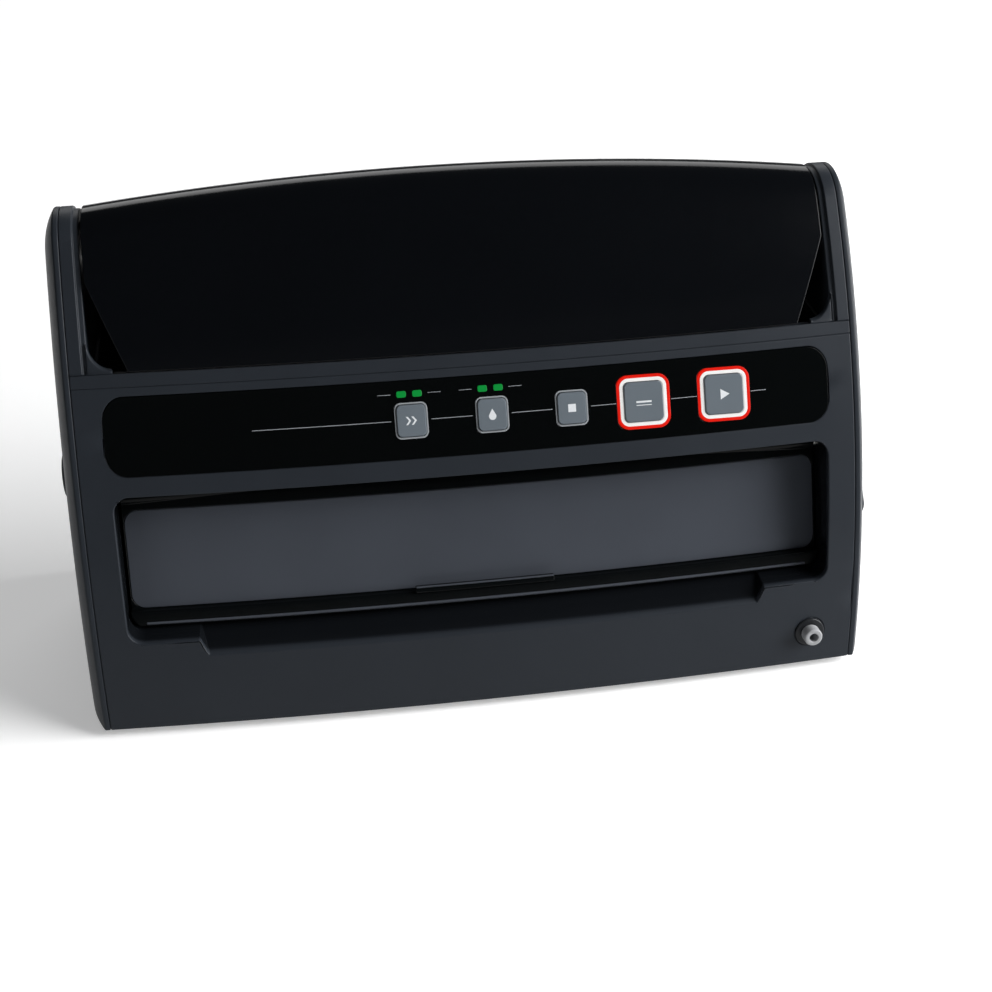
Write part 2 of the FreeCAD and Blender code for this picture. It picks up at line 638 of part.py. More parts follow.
def side_cover(side):
    """Moulded end cover whose flank swells outward behind the front edge."""
    rim = end_prism(BODY_HALF, BODY_HALF + 3)
    inset_at = ((BODY_HALF + 3, 0.0), (BODY_HALF + 7.2, 8.0), (COVER_HALF, 26.0))
    outlines = [end_outline(x, inset, BOTTOM_Z, inset * 0.3) for x, inset in inset_at]
    swell = Part.makeLoft(outlines, True, False)
    hollow = end_prism(BODY_HALF - 1, BEARING_OUTER, 5.0, BOTTOM_Z + 4)
    solid = rim.fuse(swell).cut(hollow)
    solid = solid.cut(rod(SHAFT_RADIUS + 0.5, BODY_HALF - 5, COVER_HALF + 5, LATCH_Y, LATCH_Z))
    if side < 0:
        solid = solid.mirror(Vector(0, 0, 0), X_AXIS)
    return solid


def door_pivot():
    return door_point(DOOR_PIVOT_DOWN, DOOR_PIVOT_IN)


def door_frame():
    """Door moulding: back plate, hinge edge, lip and a pocket for the facing."""
    lip_down = DOOR_HEIGHT + 9
    profile = [(-4, 0.6), (0, 0), (DOOR_HEIGHT, 0), (DOOR_HEIGHT + 0.6, -LIP_PROUD + 0.8),
               (DOOR_HEIGHT + 1.6, -LIP_PROUD), (lip_down, -LIP_PROUD + 0.5), (lip_down - 2.2, -0.5),
               (DOOR_HEIGHT + 2, DOOR_THICK), (0, DOOR_THICK), (-6, DOOR_THICK + 0.5), (-9, DOOR_THICK - 1.5)]
    body = bowed_polygon([door_point(*point) for point in profile], DOOR_HALF)
    body = body.common(rounded_window(DOOR_HALF, RECESS_LOW + 1.2, RECESS_HIGH + 20, RECESS_CORNER, -120, 20))
    facing_pocket = door_strip(-2, DOOR_HEIGHT + 2, -1, FACING_THICK, DOOR_HALF).common(facing_outline(0.1))
    body = body.cut(facing_pocket)
    body = body.fuse(rod(BARREL_RADIUS, -DOOR_HALF, DOOR_HALF, *door_pivot()))
    for side in (-1, 1):
        x = side * DOOR_HALF
        body = body.cut(rod(DOOR_PIN_RADIUS, x - 12, x + 12, *door_pivot()))
    return body.common(box(-DOOR_HALF, DOOR_HALF, -200, 200, 0, 200)).removeSplitter()


def facing_outline(grow):
    """Round-cornered outline of the door's facing, seen from the front."""
    high = door_point(1.6, 0)[1]
    low = door_point(DOOR_HEIGHT - 0.4, 0)[1]
    return rounded_window(DOOR_HALF - FACING_INSET + grow, low - grow, high + grow, FACING_CORNER, -120, 20)


def door_panel():
    return door_strip(-2, DOOR_HEIGHT + 2, 0, FACING_THICK, DOOR_HALF).common(facing_outline(0))


def door_grip():
    """Finger tab on the lip at mid width."""
    profile = [(DOOR_HEIGHT - 2.6, -LIP_PROUD - 1.6), (DOOR_HEIGHT - 2.6, -LIP_PROUD + 2.2),
               (DOOR_HEIGHT + 0.2, -LIP_PROUD + 2.2), (DOOR_HEIGHT + 1.2, -LIP_PROUD),
               (DOOR_HEIGHT + 1.2, -LIP_PROUD - 1.6)]
    return bowed_polygon([door_point(*point) for point in profile], GRIP_HALF).cut(door_frame())


def door_hinge_pins():
    return group(rod(DOOR_PIN_RADIUS, side * (DOOR_HALF + 0.5) - 5, side * (DOOR_HALF + 0.5) + 5, *door_pivot())
                 for side in (-1, 1))


def gasket_loop(inward0, inward1):
    outer = door_strip(4, 46, inward0, inward1, CHAMBER_HALF - 2)
    inner = door_strip(9, 41, inward0 - 1, inward1 + 1, CHAMBER_HALF - 8)
    return outer.cut(inner)


def upper_gasket():
    return gasket_loop(DOOR_THICK, DOOR_THICK + GASKET)


def lower_gasket():
    return gasket_loop(DOOR_THICK + GASKET + GASKET_GAP, DOOR_THICK + 2 * GASKET + GASKET_GAP)


def pressure_strip():
    return door_strip(49.5, 54.5, DOOR_THICK, DOOR_THICK + GASKET + 1.5, HEATER_HALF)


def door_catches():
    """Two arms behind the door that carry the striker pins."""
    frame = door_frame()
    outer = CATCH_INNER + CATCH_THICK
    root = DOOR_THICK / 2 + bow(HOOK_X)
    outline = [door_point(1, root), door_point(15, root), (STRIKER_Y, STRIKER_Z - CATCH_NOSE),
               (STRIKER_Y, STRIKER_Z + CATCH_NOSE)]
    arm = prism(outline, CATCH_INNER, outer)
    eye = rod(CATCH_NOSE, CATCH_INNER, outer, STRIKER_Y, STRIKER_Z)
    hole = rod(STRIKER_RADIUS, CATCH_INNER - 1, outer + 1, STRIKER_Y, STRIKER_Z)
    catch = arm.fuse(eye).cut(hole).cut(frame).removeSplitter()
    return group([catch, catch.mirror(Vector(0, 0, 0), X_AXIS)])


def striker_pins():
    """Pins pressed in the catches' eyes, across the path of the latch hooks."""
    pin = rod(STRIKER_RADIUS, CATCH_INNER, HOOK_X + 5, STRIKER_Y, STRIKER_Z)
    return group([pin, pin.mirror(Vector(0, 0, 0), X_AXIS)])


def vacuum_chamber():
    """Trough behind the door that the gasket closes off, with the seal bed below it."""
    rim = DOOR_THICK + 2 * GASKET + GASKET_GAP
    outer = door_strip(2, 47.5, rim, rim + CHAMBER_DEEP, CHAMBER_HALF)
    hollow = door_strip(9.5, 40.5, rim - 1, rim + CHAMBER_DEEP - 2.2, CHAMBER_HALF - 8.5)
    bed_front = DOOR_THICK + GASKET + 5.5
    bed = door_strip(47.5, 55, bed_front, bed_front + 8, HEATER_HALF + 8)
    ears = door_strip(-2, 2, rim + 4, rim + 8, CHAMBER_HALF)
    solid = outer.fuse([bed, ears]).cut(hollow)
    start = chamber_port(-0.1)
    solid = solid.fuse(Part.makeCylinder(TUBE_RADIUS, CHAMBER_STUB + 0.1, start, Y_AXIS))
    solid = solid.cut(Part.makeCylinder(TUBE_BORE, 30, start - Y_AXIS * 6, Y_AXIS))
    return solid.removeSplitter()


def chamber_port(behind):
    """Point a distance behind the chamber's back on the axis of its air stub."""
    rim = DOOR_THICK + 2 * GASKET + GASKET_GAP
    y, z = door_point(20, rim + CHAMBER_DEEP)
    return Vector(CHAMBER_PORT_X, y + bow(CHAMBER_PORT_X) + behind, z)


def heater_bar():
    front = DOOR_THICK + GASKET + 2.2
    return door_strip(49, 55, front + 0.3, front + 3.3, HEATER_HALF)


def heater_tape():
    front = DOOR_THICK + GASKET + 2.2
    return door_strip(48, 55.8, front, front + 0.3, HEATER_HALF + 4)


def drip_tray():
    rim = DOOR_THICK + 2 * GASKET + GASKET_GAP
    outer = door_strip(11, 39.5, rim + 5, rim + CHAMBER_DEEP - 2.2, CHAMBER_HALF - 10)
    inner = door_strip(12.2, 38.3, rim + 3, rim + CHAMBER_DEEP - 3.5, CHAMBER_HALF - 11.2)
    return outer.cut(inner)


def latch_shaft():
    return rod(SHAFT_RADIUS, -COVER_HALF - 2.5, COVER_HALF + 3.5, LATCH_Y, LATCH_Z)


def forward_down(angle, reach):
    """y and z at a reach from the latch axis, an angle below straight forward."""
    value = math.radians(angle)
    return LATCH_Y - reach * math.cos(value), LATCH_Z - reach * math.sin(value)


def latch_hooks():
    hooks = []
    for side in (-1, 1):
        x0 = side * HOOK_X - HOOK_THICK / 2
        x1 = x0 + HOOK_THICK
        hub = rod(9.0, x0, x1, LATCH_Y, LATCH_Z)
        arc = rod(HOOK_OUTER, x0, x1, LATCH_Y, LATCH_Z).cut(rod(HOOK_INNER, x0 - 1, x1 + 1, LATCH_Y, LATCH_Z))
        wedge = prism([(LATCH_Y, LATCH_Z), forward_down(HOOK_TIP, 60), forward_down(HOOK_TAIL, 60)], x0, x1)
        arm_tips = [forward_down(HOOK_TAIL - 16, HOOK_OUTER - 1), forward_down(HOOK_TAIL, HOOK_OUTER - 1)]
        arm = prism([forward_down(HOOK_TAIL - 40, 7), arm_tips[0], arm_tips[1],
                     forward_down(HOOK_TAIL + 40, 7)], x0, x1)
        hook = hub.fuse([arc.common(wedge), arm])
        hooks.append(hook.cut(rod(SHAFT_RADIUS, x0 - 1, x1 + 1, LATCH_Y, LATCH_Z)).removeSplitter())
    return group(hooks)


def latch_bearings():
    """Plain bearings for the shaft, standing in from the end covers."""
    blocks = []
    for side in (-1, 1):
        x0 = min(side * BEARING_INNER, side * BEARING_OUTER)
        x1 = max(side * BEARING_INNER, side * BEARING_OUTER)
        block = rod(10, x0, x1, LATCH_Y, LATCH_Z)
        foot = box(x0, x1, LATCH_Y - 10, LATCH_Y + 10, LATCH_Z - 22, LATCH_Z)
        bore = rod(SHAFT_RADIUS + RUN_FIT, x0 - 1, x1 + 1, LATCH_Y, LATCH_Z)
        blocks.append(block.fuse(foot).cut(bore).removeSplitter())
    return group(blocks)


def tapered_capsule(x, start, start_radius, end, end_radius):
    """Face of two round ends joined by tangent lines, in the plane of the ends."""
    span = math.hypot(end[0] - start[0], end[1] - start[1])
    heading = math.atan2(end[1] - start[1], end[0] - start[0])
    spread = math.acos((start_radius - end_radius) / span)

    def on_circle(centre, radius, angle):
        return Vector(x, centre[0] + radius * math.cos(angle), centre[1] + radius * math.sin(angle))

    far = Part.Arc(on_circle(end, end_radius, heading - spread), on_circle(end, end_radius, heading),
                   on_circle(end, end_radius, heading + spread)).toShape()
    near = Part.Arc(on_circle(start, start_radius, heading + spread),
                    on_circle(start, start_radius, heading + math.pi),
                    on_circle(start, start_radius, heading - spread)).toShape()
    return Part.Face(closed([far, near]))


def latch_lever():
    """Hand lever on the right end: tapered arm with a raised rounded grip."""
    x0 = COVER_HALF + 0.6
    grip_end = forward_down(LEVER_ANGLE, LEVER_REACH - LEVER_GRIP)
    grip_start = forward_down(LEVER_ANGLE, LEVER_REACH - LEVER_GRIP - 26)
    arm = tapered_capsule(x0, (LATCH_Y, LATCH_Z), LEVER_HUB, grip_end, LEVER_GRIP)
    arm = arm.extrude(Vector(LEVER_THICK, 0, 0))
    arm = arm.makeFillet(1.5, [edge for edge in arm.Edges if edge.CenterOfMass.x > x0 + LEVER_THICK - 0.01])
    grip = tapered_capsule(x0 + 2, grip_start, LEVER_GRIP - 3.0, grip_end, LEVER_GRIP - 2.2)
    grip = grip.extrude(Vector(LEVER_THICK + 1.3, 0, 0))
    top = x0 + 2 + LEVER_THICK + 1.3
    grip = grip.makeFillet(1.5, [edge for edge in grip.Edges if edge.CenterOfMass.x > top - 0.01])
    return arm.fuse(grip).cut(rod(SHAFT_RADIUS, x0 - 2, x0 + 3, LATCH_Y, LATCH_Z)).removeSplitter()


def latch_cap():
    """Domed cap over the shaft's left end."""
    x0 = -COVER_HALF - 5.5
    cap = rod(13.5, x0, -COVER_HALF - 0.5, LATCH_Y, LATCH_Z)
    rim = [edge for edge in cap.Edges if edge.CenterOfMass.x < x0 + 0.1]
    cap = cap.makeFillet(2.5, rim)
    return cap.cut(rod(SHAFT_RADIUS, -COVER_HALF - 2.5, -COVER_HALF + 2, LATCH_Y, LATCH_Z))


def port_seat():
    disc = Part.makeCylinder(PORT_SEAT_RADIUS, PORT_SEAT_SUNK + PORT_SEAT_PROUD, Vector(0, 0, -PORT_SEAT_SUNK))
    rim = [edge for edge in disc.Edges if edge.CenterOfMass.z > PORT_SEAT_PROUD - 0.1]
    disc = disc.makeFillet(1.0, rim)
    neck = Part.makeCylinder(PORT_SEAT_RADIUS - 2.1, 5, Vector(0, 0, -5))
    bore = Part.makeCylinder(NOZZLE_NECK, 30, Vector(0, 0, -15))
    return on_front(disc.fuse(neck).cut(bore).removeSplitter(), PORT_X, PORT_Z)


def port_nozzle():
    """Hose nozzle that shoulders on the seat, with a collar behind the front wall."""
    barrel = Part.makeCylinder(NOZZLE_RADIUS, NOZZLE_LENGTH - PORT_SEAT_PROUD, Vector(0, 0, PORT_SEAT_PROUD))
    rim = [edge for edge in barrel.Edges if edge.CenterOfMass.z > NOZZLE_LENGTH - 0.1]
    barrel = barrel.makeChamfer(0.6, rim)
    neck = Part.makeCylinder(NOZZLE_NECK, 8 + PORT_SEAT_PROUD, Vector(0, 0, -8))
    collar = Part.makeCylinder(NOZZLE_NECK + 2.0, 2.5, Vector(0, 0, -8))
    bore = Part.makeCylinder(NOZZLE_BORE, 40, Vector(0, 0, -20))
    return on_front(barrel.fuse([neck, collar]).cut(bore).removeSplitter(), PORT_X, PORT_Z)


def tube(points, radius, bore):
    """Round tube along straight runs joined by tangent arcs."""
    edges = []
    start = points[0]
    for before, corner, after in zip(points, points[1:], points[2:]):
        into = (corner - before).normalize()
        out = (after - corner).normalize()
        half_turn = into.getAngle(out) / 2
        run = 0.45 * min((corner - before).Length, (after - corner).Length)
        a = corner - into * run
        b = corner + out * run
        toward = (out - into).normalize()
        arc_radius = run / math.tan(half_turn)
        middle = corner + toward * (arc_radius / math.cos(half_turn) - arc_radius)
        edges.append(line(start, a))
        edges.append(Part.Arc(a, middle, b).toShape())
        start = b
    edges.append(line(start, points[-1]))
    path = Part.Wire(edges)
    heading = (points[1] - points[0]).normalize()
    solids = [path.makePipeShell([Part.Wire(Part.makeCircle(r, points[0], heading))], True, False)
              for r in (radius, bore)]
    return solids[0].cut(solids[1])


def port_tube():
    lean = math.radians(lean_at(PORT_Z))
    y_front = skin(lean_at(PORT_Z))[0] + bow(PORT_X)
    inward = Vector(0, math.cos(lean), -math.sin(lean))
    start = Vector(PORT_X, y_front, PORT_Z) + inward * 8
    points = [start, start + inward * 26, Vector(120, -8, 22), Vector(10, -8, 22),
              Vector(PUMP_X + 56, -2, PUMP_Z - 4), Vector(PUMP_X + 56, PUMP_Y - 18, PUMP_Z - 4)]
    return tube(points, TUBE_RADIUS, TUBE_BORE)


def vacuum_tube():
    start = chamber_port(CHAMBER_STUB)
    points = [start, start + Y_AXIS * 16, Vector(PUMP_X + 46, PUMP_Y + 2, PUMP_Z + 44),
              Vector(PUMP_X + 46, PUMP_Y + 2, PUMP_Z + 20)]
    return tube(points, TUBE_RADIUS, TUBE_BORE)


def pump_bracket():
    plate = box(PUMP_X - 40, PUMP_X + 72, PUMP_Y - 22, PUMP_Y + 22, FOOT_HEIGHT + 7, FOOT_HEIGHT + 9)
    for x in (PUMP_X - 22, PUMP_X + 18):
        saddle = box(x - 3, x + 3, PUMP_Y - 20, PUMP_Y + 20, FOOT_HEIGHT + 9, PUMP_Z)
        plate = plate.fuse(saddle)
    pedestal = box(PUMP_X + 34, PUMP_X + 66, PUMP_Y - 16, PUMP_Y + 16, FOOT_HEIGHT + 9, PUMP_Z - 20)
    plate = plate.fuse(pedestal)
    return plate.cut(rod(MOTOR_RADIUS, PUMP_X - 60, PUMP_X + 31, PUMP_Y, PUMP_Z)).removeSplitter()


def pump_motor():
    half = MOTOR_LENGTH / 2
    can = rod(MOTOR_RADIUS, PUMP_X - half, PUMP_X + half, PUMP_Y, PUMP_Z)
    rims = [edge for edge in can.Edges if abs(abs(edge.CenterOfMass.x - PUMP_X) - half) < 0.1]
    can = can.makeFillet(2.0, rims)
    boss = rod(6, PUMP_X + half - 1, PUMP_X + half + 3, PUMP_Y, PUMP_Z)
    hollow = rod(MOTOR_RADIUS - 2.5, PUMP_X - half + 2.5, PUMP_X + half - 2.5, PUMP_Y, PUMP_Z)
    bore = rod(2.0 + RUN_FIT, PUMP_X - half - 5, PUMP_X + half + 5, PUMP_Y, PUMP_Z)
    return can.fuse(boss).cut(hollow).cut(bore)


def motor_rotor():
    """Armature, shaft, cooling fan on the left and the pump's eccentric on the right."""
    half = MOTOR_LENGTH / 2
    shaft = rod(2.0, PUMP_X - half - 12, PUMP_X + half + 20, PUMP_Y, PUMP_Z)
    armature = rod(13.0, PUMP_X - 18, PUMP_X + 18, PUMP_Y, PUMP_Z)
    eccentric = rod(6.5, PUMP_X + half + 10, PUMP_X + half + 18, PUMP_Y, PUMP_Z + 2.5)
    fan_x = PUMP_X - half - 11
    hub = rod(5, fan_x, fan_x + 8, PUMP_Y, PUMP_Z)
    solid = shaft.fuse([armature, eccentric, hub])
    for index in range(6):
        blade = box(fan_x + 1, fan_x + 7, PUMP_Y + 4, PUMP_Y + 15, PUMP_Z - 0.7, PUMP_Z + 0.7)
        blade.rotate(Vector(fan_x, PUMP_Y, PUMP_Z), X_AXIS, index * 60)
        solid = solid.fuse(blade)
    return solid.removeSplitter()


def pump_head():
    x0 = PUMP_X + MOTOR_LENGTH / 2 + 3
    block = box(x0, x0 + 34, PUMP_Y - 18, PUMP_Y + 18, PUMP_Z - 20, PUMP_Z + 20)
    edges = [edge for edge in block.Edges if abs(edge.tangentAt(edge.FirstParameter).x) > 0.9]
    block = block.makeFillet(5.0, edges)
    cavity = rod(11.0, x0 + 5, x0 + 17.5, PUMP_Y, PUMP_Z)
    bore = rod(2.4, x0 - 1, x0 + 6, PUMP_Y, PUMP_Z)
    inlet = post(2.6, PUMP_X + 46, PUMP_Y + 2, PUMP_Z + 14, PUMP_Z + 25)
    return block.cut(cavity).cut(bore).cut(inlet)


def transformer_core():
    x0 = TRANSFORMER_X - 28
    core = box(x0, x0 + 56, 24, 66, FOOT_HEIGHT + 9, FOOT_HEIGHT + 51)
    window = box(x0 + 12, x0 + 44, 20, 70, FOOT_HEIGHT + 19, FOOT_HEIGHT + 41)
    foot = box(49, 151, 28, 62, FOOT_HEIGHT + 7, FOOT_HEIGHT + 9)
    return core.cut(window).fuse(foot).removeSplitter()


def transformer_coil():
    x0 = TRANSFORMER_X - 16
    coil = box(x0 + 0.2, x0 + 31.8, 17, 73, FOOT_HEIGHT + 19, FOOT_HEIGHT + 40.8)
    edges = [edge for edge in coil.Edges if abs(edge.tangentAt(edge.FirstParameter).z) > 0.9]
    return coil.makeFillet(6.0, edges)


def door_switch():
    """Small switch on the right bearing's inner face that feels the latch."""
    x0 = BEARING_INNER - 6
    y0 = LATCH_Y + 2
    top = LATCH_Z - 12
    body = box(x0, BEARING_INNER, y0, y0 + 20, top - 10, top)
    leaf = prism([(y0, top), (y0 + 18, top + 2.4), (y0 + 18, top + 1.8), (y0 + 2, top - 0.4)],
                 x0 + 1.5, x0 + 4.5)
    return body.fuse(leaf).removeSplitter()


def build():
    pieces = {
        "base_plate": base_plate(),
        "rubber_feet": rubber_feet(),
        "base_screws": base_screws(),
        "front_housing": front_housing(),
        "upper_housing": upper_housing(),
        "rear_cover": rear_cover(),
        "rear_screws": rear_screws(),
        "left_side_cover": side_cover(-1),
        "right_side_cover": side_cover(1),
        "roll_trough": roll_trough(),
        "storage_lid": storage_lid(),
        "lid_hinge_pins": lid_hinge_pins(),
        "control_panel": control_panel(),
        "button_borders": button_borders(),
        "white_light_rings": white_light_rings(),
        "red_light_rings": red_light_rings(),
        "indicator_lenses": indicator_lenses(),
        "control_board": control_board(),
        "tact_switches": tact_switches(),
        "door_frame": door_frame(),
        "door_panel": door_panel(),
        "door_grip": door_grip(),
        "door_hinge_pins": door_hinge_pins(),
        "upper_gasket": upper_gasket(),
        "pressure_strip": pressure_strip(),
        "door_catches": door_catches(),
        "striker_pins": striker_pins(),
        "vacuum_chamber": vacuum_chamber(),
        "lower_gasket": lower_gasket(),
        "heater_bar": heater_bar(),
        "heater_tape": heater_tape(),
        "drip_tray": drip_tray(),
        "latch_shaft": latch_shaft(),
        "latch_hooks": latch_hooks(),
        "latch_bearings": latch_bearings(),
        "latch_lever": latch_lever(),
        "latch_cap": latch_cap(),
        "door_switch": door_switch(),
        "port_seat": port_seat(),
        "port_nozzle": port_nozzle(),
        "port_tube": port_tube(),
        "vacuum_tube": vacuum_tube(),
        "pump_bracket": pump_bracket(),
        "pump_motor": pump_motor(),
        "motor_rotor": motor_rotor(),
        "pump_head": pump_head(),
        "transformer_core": transformer_core(),
        "transformer_coil": transformer_coil(),
        "cord_gland": cord_gland(),
    }
    for name, x in SMALL_BUTTON_X.items():
        pieces[name] = push_button(SMALL_BUTTON, x)
    for name, x in LARGE_BUTTON_X.items():
        pieces[name] = push_button(LARGE_BUTTON, x)
    return pieces


os.makedirs("parts", exist_ok=True)
for node, shape in build().items():
    shape.translate(Vector(0, -ORIGIN_Y, 0))
    shape.exportStep("parts/" + node + ".step")
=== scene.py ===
import json
import math

import bmesh
import bpy
from mathutils import Matrix, Vector


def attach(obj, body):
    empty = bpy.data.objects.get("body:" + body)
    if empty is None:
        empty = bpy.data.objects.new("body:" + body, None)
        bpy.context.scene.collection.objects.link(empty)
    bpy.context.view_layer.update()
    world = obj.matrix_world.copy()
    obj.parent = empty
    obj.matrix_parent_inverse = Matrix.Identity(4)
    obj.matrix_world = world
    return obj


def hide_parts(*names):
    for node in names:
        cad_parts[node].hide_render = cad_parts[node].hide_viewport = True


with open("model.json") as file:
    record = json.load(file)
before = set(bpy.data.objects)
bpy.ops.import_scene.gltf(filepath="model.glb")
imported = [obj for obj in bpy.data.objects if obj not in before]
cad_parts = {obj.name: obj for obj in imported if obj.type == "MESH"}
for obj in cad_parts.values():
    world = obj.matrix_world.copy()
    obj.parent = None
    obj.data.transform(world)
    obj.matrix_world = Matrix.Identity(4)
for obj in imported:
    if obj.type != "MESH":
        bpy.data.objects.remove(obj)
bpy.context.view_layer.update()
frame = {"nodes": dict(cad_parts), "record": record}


# Front and upper housing, end covers and back.
# Injection-moulded charcoal ABS with a fine spark-eroded grain, screwed to the base from
# below and from behind. The edges are softly broken, as moulded edges are.
class Channel:
    """A shader socket that takes part in sums."""

    def __init__(self, finish, socket):
        self.finish = finish
        self.socket = socket

    def sum_with(self, operation, other, turned=False):
        pair = (other, self) if turned else (self, other)
        return self.finish.node("ShaderNodeMath", {"operation": operation}, {0: pair[0], 1: pair[1]})

    def __add__(self, other):
        return self.sum_with("ADD", other)

    def __radd__(self, other):
        return self.sum_with("ADD", other, True)

    def __sub__(self, other):
        return self.sum_with("SUBTRACT", other)

    def __rsub__(self, other):
        return self.sum_with("SUBTRACT", other, True)

    def __mul__(self, other):
        return self.sum_with("MULTIPLY", other)

    def __rmul__(self, other):
        return self.sum_with("MULTIPLY", other, True)


class Finish:
    """One material, with a Principled shader and the nodes that feed it."""

    def __init__(self, name, constants):
        self.material = bpy.data.materials.new(name)
        self.material.use_nodes = True
        self.tree = self.material.node_tree
        self.shader = self.tree.nodes["Principled BSDF"]
        for socket, value in constants.items():
            self.shader.inputs[socket].default_value = value
        self.place = self.node("ShaderNodeTexCoord", output="Object")

    def join(self, value, socket):
        if isinstance(value, Channel):
            self.tree.links.new(value.socket, socket)
        else:
            socket.default_value = value

    def node(self, kind, settings=None, sockets=None, output=0):
        made = self.tree.nodes.new(kind)
        for name, value in (settings or {}).items():
            setattr(made, name, value)
        for key, value in (sockets or {}).items():
            self.join(value, made.inputs[key])
        return Channel(self, made.outputs[output])

    def feed(self, socket, value):
        self.join(value, self.shader.inputs[socket])

    def noise(self, per_metre, detail):
        return self.node("ShaderNodeTexNoise", None,
                         {"Vector": self.place, "Scale": per_metre, "Detail": detail})

    def between(self, factor, low, high):
        """A mix of two colours, each plain or worked out by other nodes."""
        low, high = (end if isinstance(end, Channel) else (*end, 1) for end in (low, high))
        return self.node("ShaderNodeMix", {"data_type": "RGBA"}, {0: factor, 6: low, 7: high}, 2)

    def eased(self, value, low, high):
        """0 below low, 1 above high, and smooth between them."""
        return self.node("ShaderNodeMapRange", {"interpolation_type": "SMOOTHSTEP"},
                         {"Value": value, "From Min": low, "From Max": high})

    def relief(self, height, depth):
        self.feed("Normal", self.node("ShaderNodeBump", None, {"Distance": depth, "Height": height}))


def tinted(colour, share):
    return tuple(value * share for value in colour)


MOULDED_SHINE = 0.11
MOTTLE_PER_METRE = 14
HANDLING_PER_METRE = 38


def moulded_skin(finish, colour, roughness, grain_per_metre):
    """Colour, roughness and grain height of plastic with flow mottling and handling shine."""
    mottle = finish.noise(MOTTLE_PER_METRE, 3)
    grain = finish.noise(grain_per_metre, 1)
    handled = finish.noise(HANDLING_PER_METRE, 4)
    shade = finish.between(mottle, tinted(colour, 0.86), tinted(colour, 1.14))
    return shade, roughness + 0.12 * (handled - 0.5) + 0.06 * (grain - 0.5), grain


def moulded_plastic(name, colour, roughness, grain_per_metre, grain_depth, constants=None):
    """Moulded plastic: faint flow mottling, a fine even grain and a little handling shine."""
    finish = Finish(name, {"Specular IOR Level": MOULDED_SHINE, **(constants or {})})
    shade, dullness, grain = moulded_skin(finish, colour, roughness, grain_per_metre)
    finish.feed("Base Color", shade)
    finish.feed("Roughness", dullness)
    finish.relief(grain, grain_depth)
    return finish.material


def linked(piece):
    bpy.context.scene.collection.objects.link(piece)
    return piece


def plain_mesh(piece):
    """Settle a piece's modifiers into its mesh."""
    shaped = piece.evaluated_get(bpy.context.evaluated_depsgraph_get())
    mesh = bpy.data.meshes.new_from_object(shaped)
    piece.modifiers.clear()
    piece.data = mesh
    return piece


MERGE_DISTANCE = 2e-6
FLAT_ANGLE = math.radians(0.02)
CREASE_ANGLE = math.radians(50)
ROUNDED_ANGLE = math.radians(32)


def softened(node, edge_radius, material):
    """A smooth copy of a node with its sharp edges rounded, standing in the node's place."""
    mesh = frame["nodes"][node].data.copy()
    form = bmesh.new()
    form.from_mesh(mesh)
    bmesh.ops.remove_doubles(form, verts=form.verts, dist=MERGE_DISTANCE)
    bmesh.ops.dissolve_limit(form, angle_limit=FLAT_ANGLE, verts=form.verts, edges=form.edges)
    form.to_mesh(mesh)
    form.free()
    mesh.materials.clear()
    mesh.materials.append(material)
    mesh.shade_smooth()
    mesh.set_sharp_from_angle(angle=CREASE_ANGLE)
    piece = linked(bpy.data.objects.new(node + "_moulding", mesh))
    rounding = piece.modifiers.new("rounding", "BEVEL")
    rounding.width = edge_radius
    rounding.segments = 2
    rounding.use_clamp_overlap = False
    rounding.loop_slide = False
    rounding.limit_method = "ANGLE"
    rounding.angle_limit = ROUNDED_ANGLE
    weighting = piece.modifiers.new("weighting", "WEIGHTED_NORMAL")
    weighting.weight = 60
    plain_mesh(piece)
    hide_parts(node)
    body = next(name for name, nodes in frame["record"]["behaviour"]["bodies"].items() if node in nodes)
    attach(piece, body)
    return piece


CHARCOAL = (0.0180, 0.0213, 0.0265)
CHARCOAL_ROUGHNESS = 0.40
CHARCOAL_GRAIN_PER_METRE = 2600
CHARCOAL_GRAIN_DEPTH = 0.00004
HOUSING_EDGE = 0.0007
charcoal = moulded_plastic("charcoal_moulded_plastic", CHARCOAL, CHARCOAL_ROUGHNESS, CHARCOAL_GRAIN_PER_METRE,
                           CHARCOAL_GRAIN_DEPTH)
for node in ("left_side_cover", "right_side_cover", "rear_cover"):
    softened(node, HOUSING_EDGE, charcoal)

BOW_RADIUS = 3.55
FRONT_RADIUS = 0.450
FRONT_CENTRE_Y = 0.3643
FRONT_CENTRE_Z = -0.0537
# Depth behind the front skin over which the recess turns glossy and darker; the darker colour is partly the real
# black walls and partly painted shade.
RECESS_GLOSS_AND_SHADE_STARTS = 0.0009
RECESS_GLOSS_AND_SHADE_FULL = 0.0040
RECESS_BLACK_AND_SHADE_SHARE = 0.22
POLISH_ROUGHNESS_DROP = 0.22


